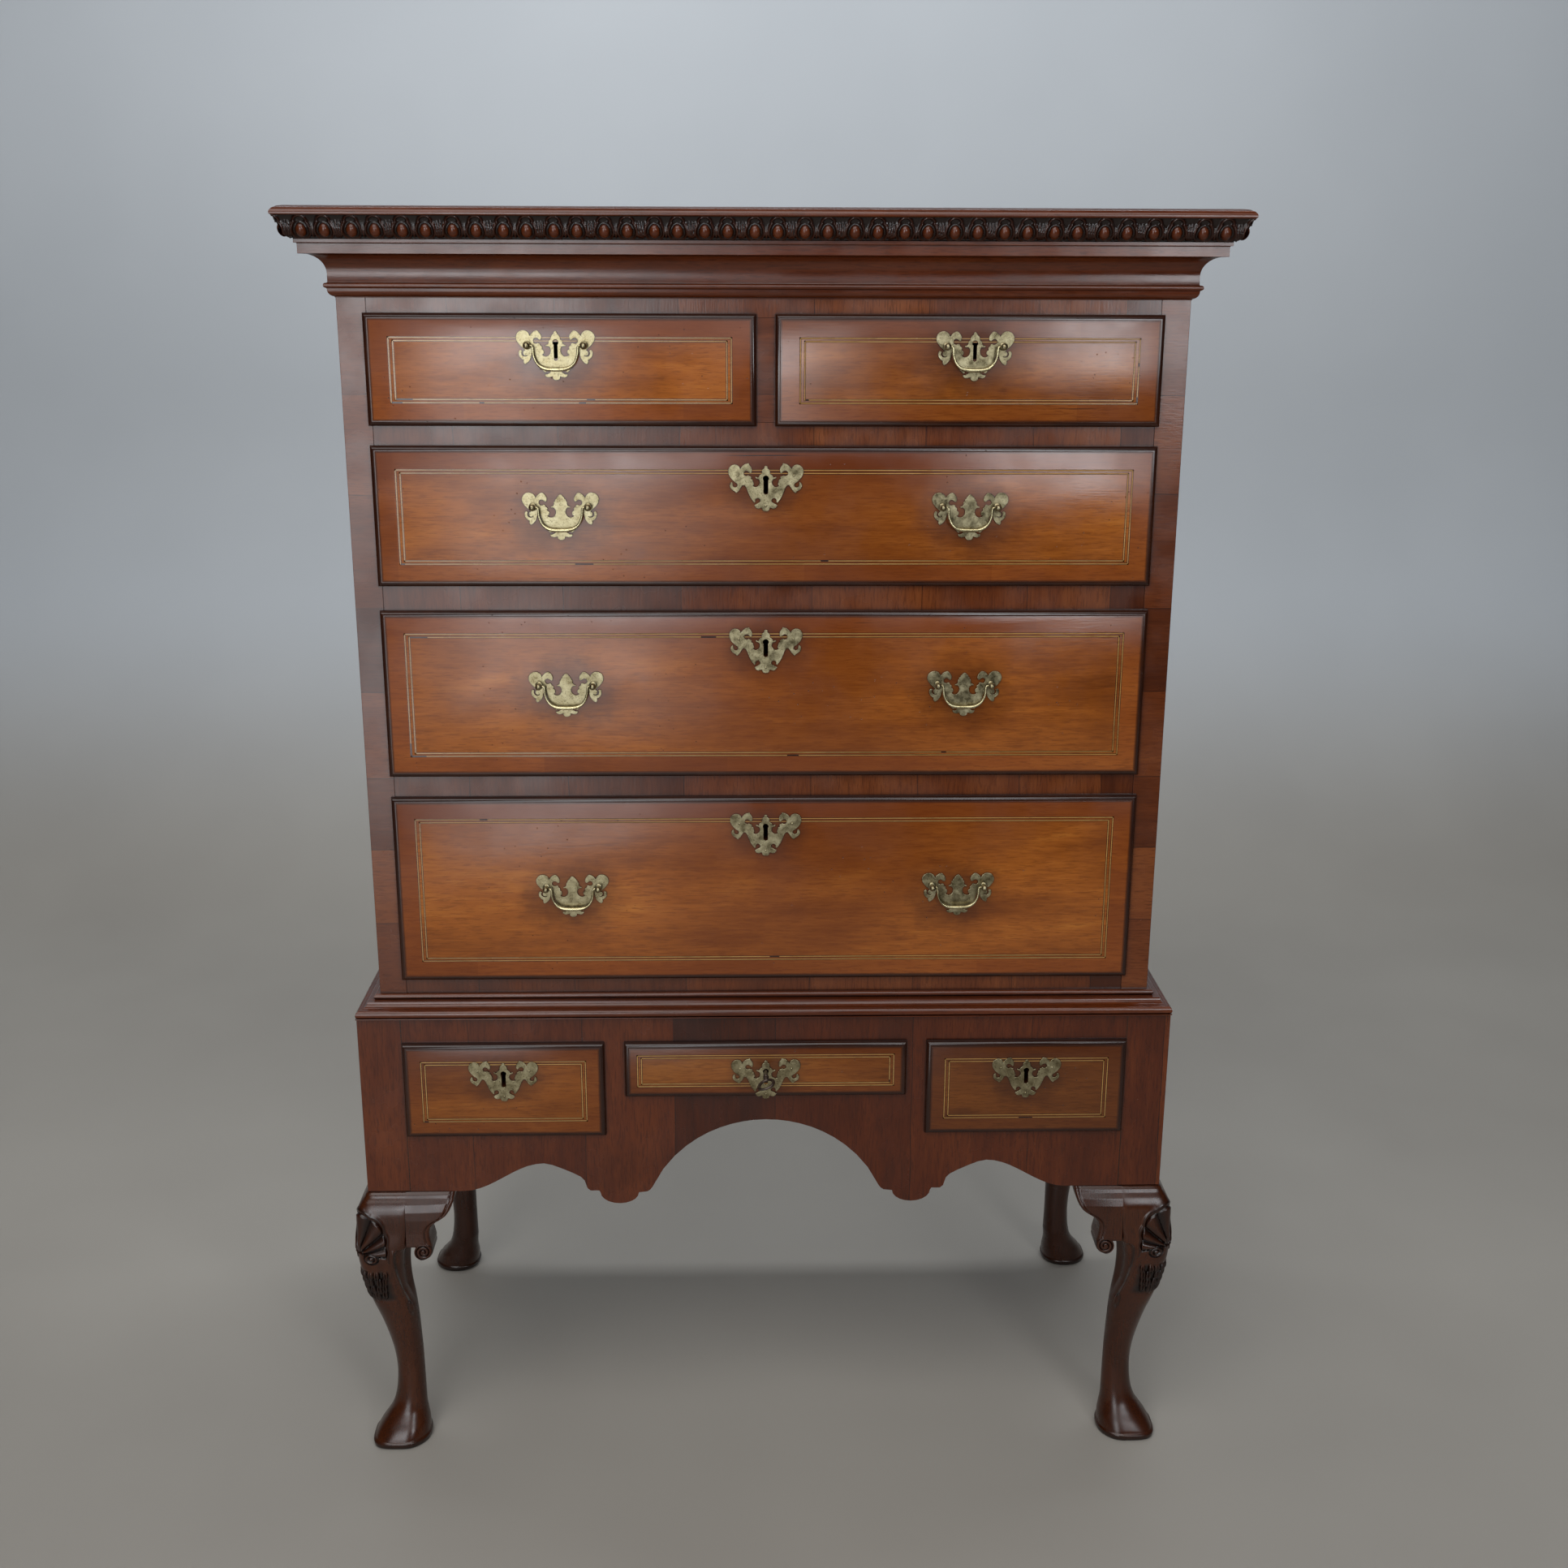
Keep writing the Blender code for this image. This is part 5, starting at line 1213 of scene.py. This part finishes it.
# seed of the figure, stringing insets at sides and ends, spacing of its two lines, strength of the colour (partly the
# front's own tone, partly painted shade on the stand drawers and the right-hand ones)
DRAWERS = {
    "top_left_drawer": (1, (0.0285, 0.0265), (0.0052, 0.0036), 0.98),
    "top_right_drawer": (2, (0.0285, 0.0265), (0.0052, 0.0036), 0.76),
    "upper_long_drawer": (3, (0.0285, 0.0270), (0.0052, 0.0036), 0.92),
    "middle_long_drawer": (4, (0.0285, 0.0270), (0.0052, 0.0036), 0.97),
    "lower_long_drawer": (5, (0.0285, 0.0270), (0.0052, 0.0036), 0.95),
    "stand_left_drawer": (6, (0.0235, 0.0230), (0.0050, 0.0034), 0.68),
    "stand_right_drawer": (7, (0.0235, 0.0230), (0.0050, 0.0034), 0.46),
    "stand_centre_drawer": (8, (0.0165, 0.0160), (0.0050, 0.0034), 0.60),
}


def drawers():
    for name, (seed, insets, gaps, strength) in DRAWERS.items():
        low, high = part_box(f"{name}_front")
        rect = (low.x, high.x, low.z, high.z)
        y_frame = STAND_Y if name.startswith("stand") else CASE_Y
        marks, holes = [], []
        labels = [
            j[: -len("_bail_hinge")] for j in JOINTS if j.startswith(name) and j.endswith("_bail_hinge")
        ]
        for label in labels:
            x, _, z = JOINTS[f"{label}_bail_hinge"]
            marks.append((x, z - 0.012, 0.046))
            handle(label, name, len(labels) == 1)
            if len(labels) == 1:
                holes.append((x, z + 0.0032))
        if f"{name}_escutcheon" in NODES:
            e_low, e_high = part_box(f"{name}_escutcheon")
            x, z = (e_low.x + e_high.x) / 2, e_low.z + ESCUTCHEON_DROP
            marks.append((x, z - 0.008, 0.036))
            holes.append((x, z))
            escutcheon(name, x, z, low.y)
        material = drawer_wood(f"{name}_veneer", seed, rect, insets, marks, strength)
        # the key's bit turns in a recess behind its keyhole
        recesses = holes if name == "stand_centre_drawer" else []
        data = front_mesh(f"{name}_panel", rect, high.y, y_frame, low.y, holes, recesses)
        new_object(f"{name}_panel", data, material, name, [f"{name}_front"], 24)
        stringing(name, rect, insets, gaps, low.y, name)


def key():
    """Shank and collar, a bow of forged wire that stands a little askew, and the bit."""
    low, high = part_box("key")
    x, face, z = JOINTS["key_turn"]
    shape = bmesh.new()
    shank = [
        (0.0024, -0.0215), (0.0024, 0.0140), (0.0030, 0.0146), (0.0036, 0.0158), (0.0030, 0.0170),
        (0.0024, 0.0176), (0.0027, 0.0205), (0.0035, 0.0218), (0.0028, 0.0232), (0.0018, 0.0245),
    ]
    lathe_into(shape, x, face, z, shank, 20)
    turn = math.radians(20)
    rings = []
    for i in range(40):
        a = 2 * math.pi * i / 40
        thick = 0.0016 + 0.0005 * math.cos(a) ** 2
        ring = []
        for k in range(12):
            b = 2 * math.pi * k / 12
            out = thick * math.cos(b)
            across = (0.0095 + out) * math.cos(a) * (1 - 0.10 * math.sin(a))
            along = (0.0118 + out) * math.sin(a)
            up = thick * math.sin(b)
            to_right = across * math.cos(turn) - up * math.sin(turn)
            to_top = across * math.sin(turn) + up * math.cos(turn)
            ring.append((x + to_right, low.y + 0.0140 + along, z + to_top))
        rings.append(ring)
    rings.append(rings[0])
    loft_into(shape, rings, caps=False)
    bmesh.ops.remove_doubles(shape, verts=shape.verts, dist=1e-6)
    box_into(shape, (x - 0.0011, high.y - 0.0060, z - 0.0088), (x + 0.0011, high.y - 0.0010, z - 0.0012))
    new_object("key_forged", shape, IRON, "key", ["key"], 40)


# ---------------------------------------------------------------- plain CAD nodes take their finish here
def paint_nodes():
    finish = {
        "case_side_left": CASE_SIDE, "case_side_right": CASE_SIDE, "case_top_board": RAIL,
        "case_bottom_board": RAIL,
        "dustboard_upper": RAIL, "dustboard_middle": RAIL, "dustboard_lower": RAIL,
        "top_drawer_divider": STILE,
        "case_back_boards": PINE, "stand_back_rail": PINE, "stand_drawer_runner_frame": OAK,
        "stand_side_left": STAND_SIDE, "stand_side_right": STAND_SIDE, "stand_front_apron": APRON,
    }
    for name, node in NODES.items():
        material = finish.get(name, OAK if name.endswith("_box") else None)
        if material is None:
            continue
        node.data.materials.clear()
        node.data.materials.append(material)
        soften(node, 0.0005)


def stile_fronts():
    """Cross-grained veneer on the front edges of the case sides."""
    for name in ("left", "right"):
        low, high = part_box(f"case_side_{name}")
        shape = bmesh.new()
        top = CORNICE_LOW.z + 0.001
        box_into(shape, (low.x + GAP, CASE_Y - 0.0006, low.z + 0.020), (high.x - GAP, CASE_Y + 0.0001, top))
        soften(new_object(f"stile_veneer_{name}", shape, STILE, "chest", (), 30), 0.0003)


# ---------------------------------------------------------------- stage, light and camera
def stage():
    g = Graph("pale_floor")
    tint = g.noise(g.place, 1.2, 3.0)
    ground = g.ramp(tint, [(0.3, (0.35, 0.325, 0.29)), (0.7, (0.40, 0.375, 0.335))])
    wall = g.ramp(tint, [(0.3, (0.52, 0.55, 0.58)), (0.7, (0.56, 0.59, 0.62))])
    colour = g.mix(g.span(g.split()[2], 0.02, 0.7), ground, wall)
    material = g.finish(colour, 0.6)
    data = bpy.data.meshes.new("floor")
    far = 14.0
    depth = 1.5
    bend = [(depth + 1.2 * math.sin(a), 1.2 * (1 - math.cos(a))) for a in np.linspace(0, math.pi / 2, 16)]
    line = [(-far, 0.0)] + bend + [(depth + 1.2, 9.0)]
    points = [(s * far, y, z) for y, z in line for s in (-1, 1)]
    data.from_pydata(points, [], [(2 * i, 2 * i + 1, 2 * i + 3, 2 * i + 2) for i in range(len(line) - 1)])
    data.materials.append(material)
    data.shade_smooth()
    linked("floor", data)
    world = bpy.data.worlds.new("studio")
    bpy.context.scene.world = world
    world.use_nodes = True
    background = world.node_tree.nodes["Background"]
    background.inputs["Color"].default_value = (0.80, 0.87, 0.95, 1)
    background.inputs["Strength"].default_value = 0.04
    for name, place, target, size, power, colour in (
        ("ceiling", (-0.4, -1.9, 3.2), (0.0, -0.1, 0.8), (3.0, 2.0), 52, (1.0, 0.98, 0.96)),
        ("left_window", (-0.97, -3.0, 0.85), (-0.97, 0.0, 0.85), (1.00, 1.7), 18.5, (0.94, 0.97, 1.0)),
        ("left_window_top", (-0.72, -3.02, 1.45), (-0.72, 0.0, 1.45), (1.0, 0.7), 8.0, (0.94, 0.97, 1.0)),
        ("left_return", (-0.27, -3.01, 0.95), (-0.27, 0.0, 0.95), (0.40, 1.9), 1.3, (0.94, 0.97, 1.0)),
        ("right_window", (1.42, -3.0, 1.68), (1.42, 0.0, 1.68), (0.80, 1.0), 20, (0.92, 0.96, 1.0)),
        ("room_wall", (0.0, -3.05, 2.0), (0.0, 0.0, 2.0), (3.4, 0.7), 7, (0.96, 0.97, 1.0)),
        ("wall_wash", (0.0, 0.75, 3.3), (0.0, 2.4, 1.2), (4.0, 0.5), 52, (0.92, 0.96, 1.0)),
    ):
        lamp = bpy.data.lights.new(name, "AREA")
        lamp.shape = "RECTANGLE"
        lamp.size, lamp.size_y = size
        lamp.energy = power
        lamp.color = colour
        thing = linked(name, lamp)
        thing.location = place
        thing.rotation_euler = (Vector(target) - Vector(place)).to_track_quat("-Z", "Y").to_euler()


def camera():
    lens = bpy.data.cameras.new("camera")
    lens.sensor_width = 36.0
    lens.lens = 40.52
    lens.clip_start = 0.05
    lens.clip_end = 60
    eye = linked("camera", lens)
    eye.location = (-0.0281, CASE_Y - 2.053, 1.499)
    pitch, yaw, roll = math.radians(16.065), math.radians(1.405), math.radians(0.198)
    turn = Matrix.Rotation(-yaw, 4, "Z") @ Matrix.Rotation(math.pi / 2 - pitch, 4, "X") @ Matrix.Rotation(roll, 4, "Z")
    eye.rotation_euler = turn.to_euler()
    bpy.context.scene.camera = eye
    view = bpy.context.scene.view_settings
    view.view_transform = "Standard"
    view.look = "None"
    view.exposure = 0.0


paint_nodes()
stile_fronts()
cornice()
waist()
legs()
drawers()
key()
stage()
camera()
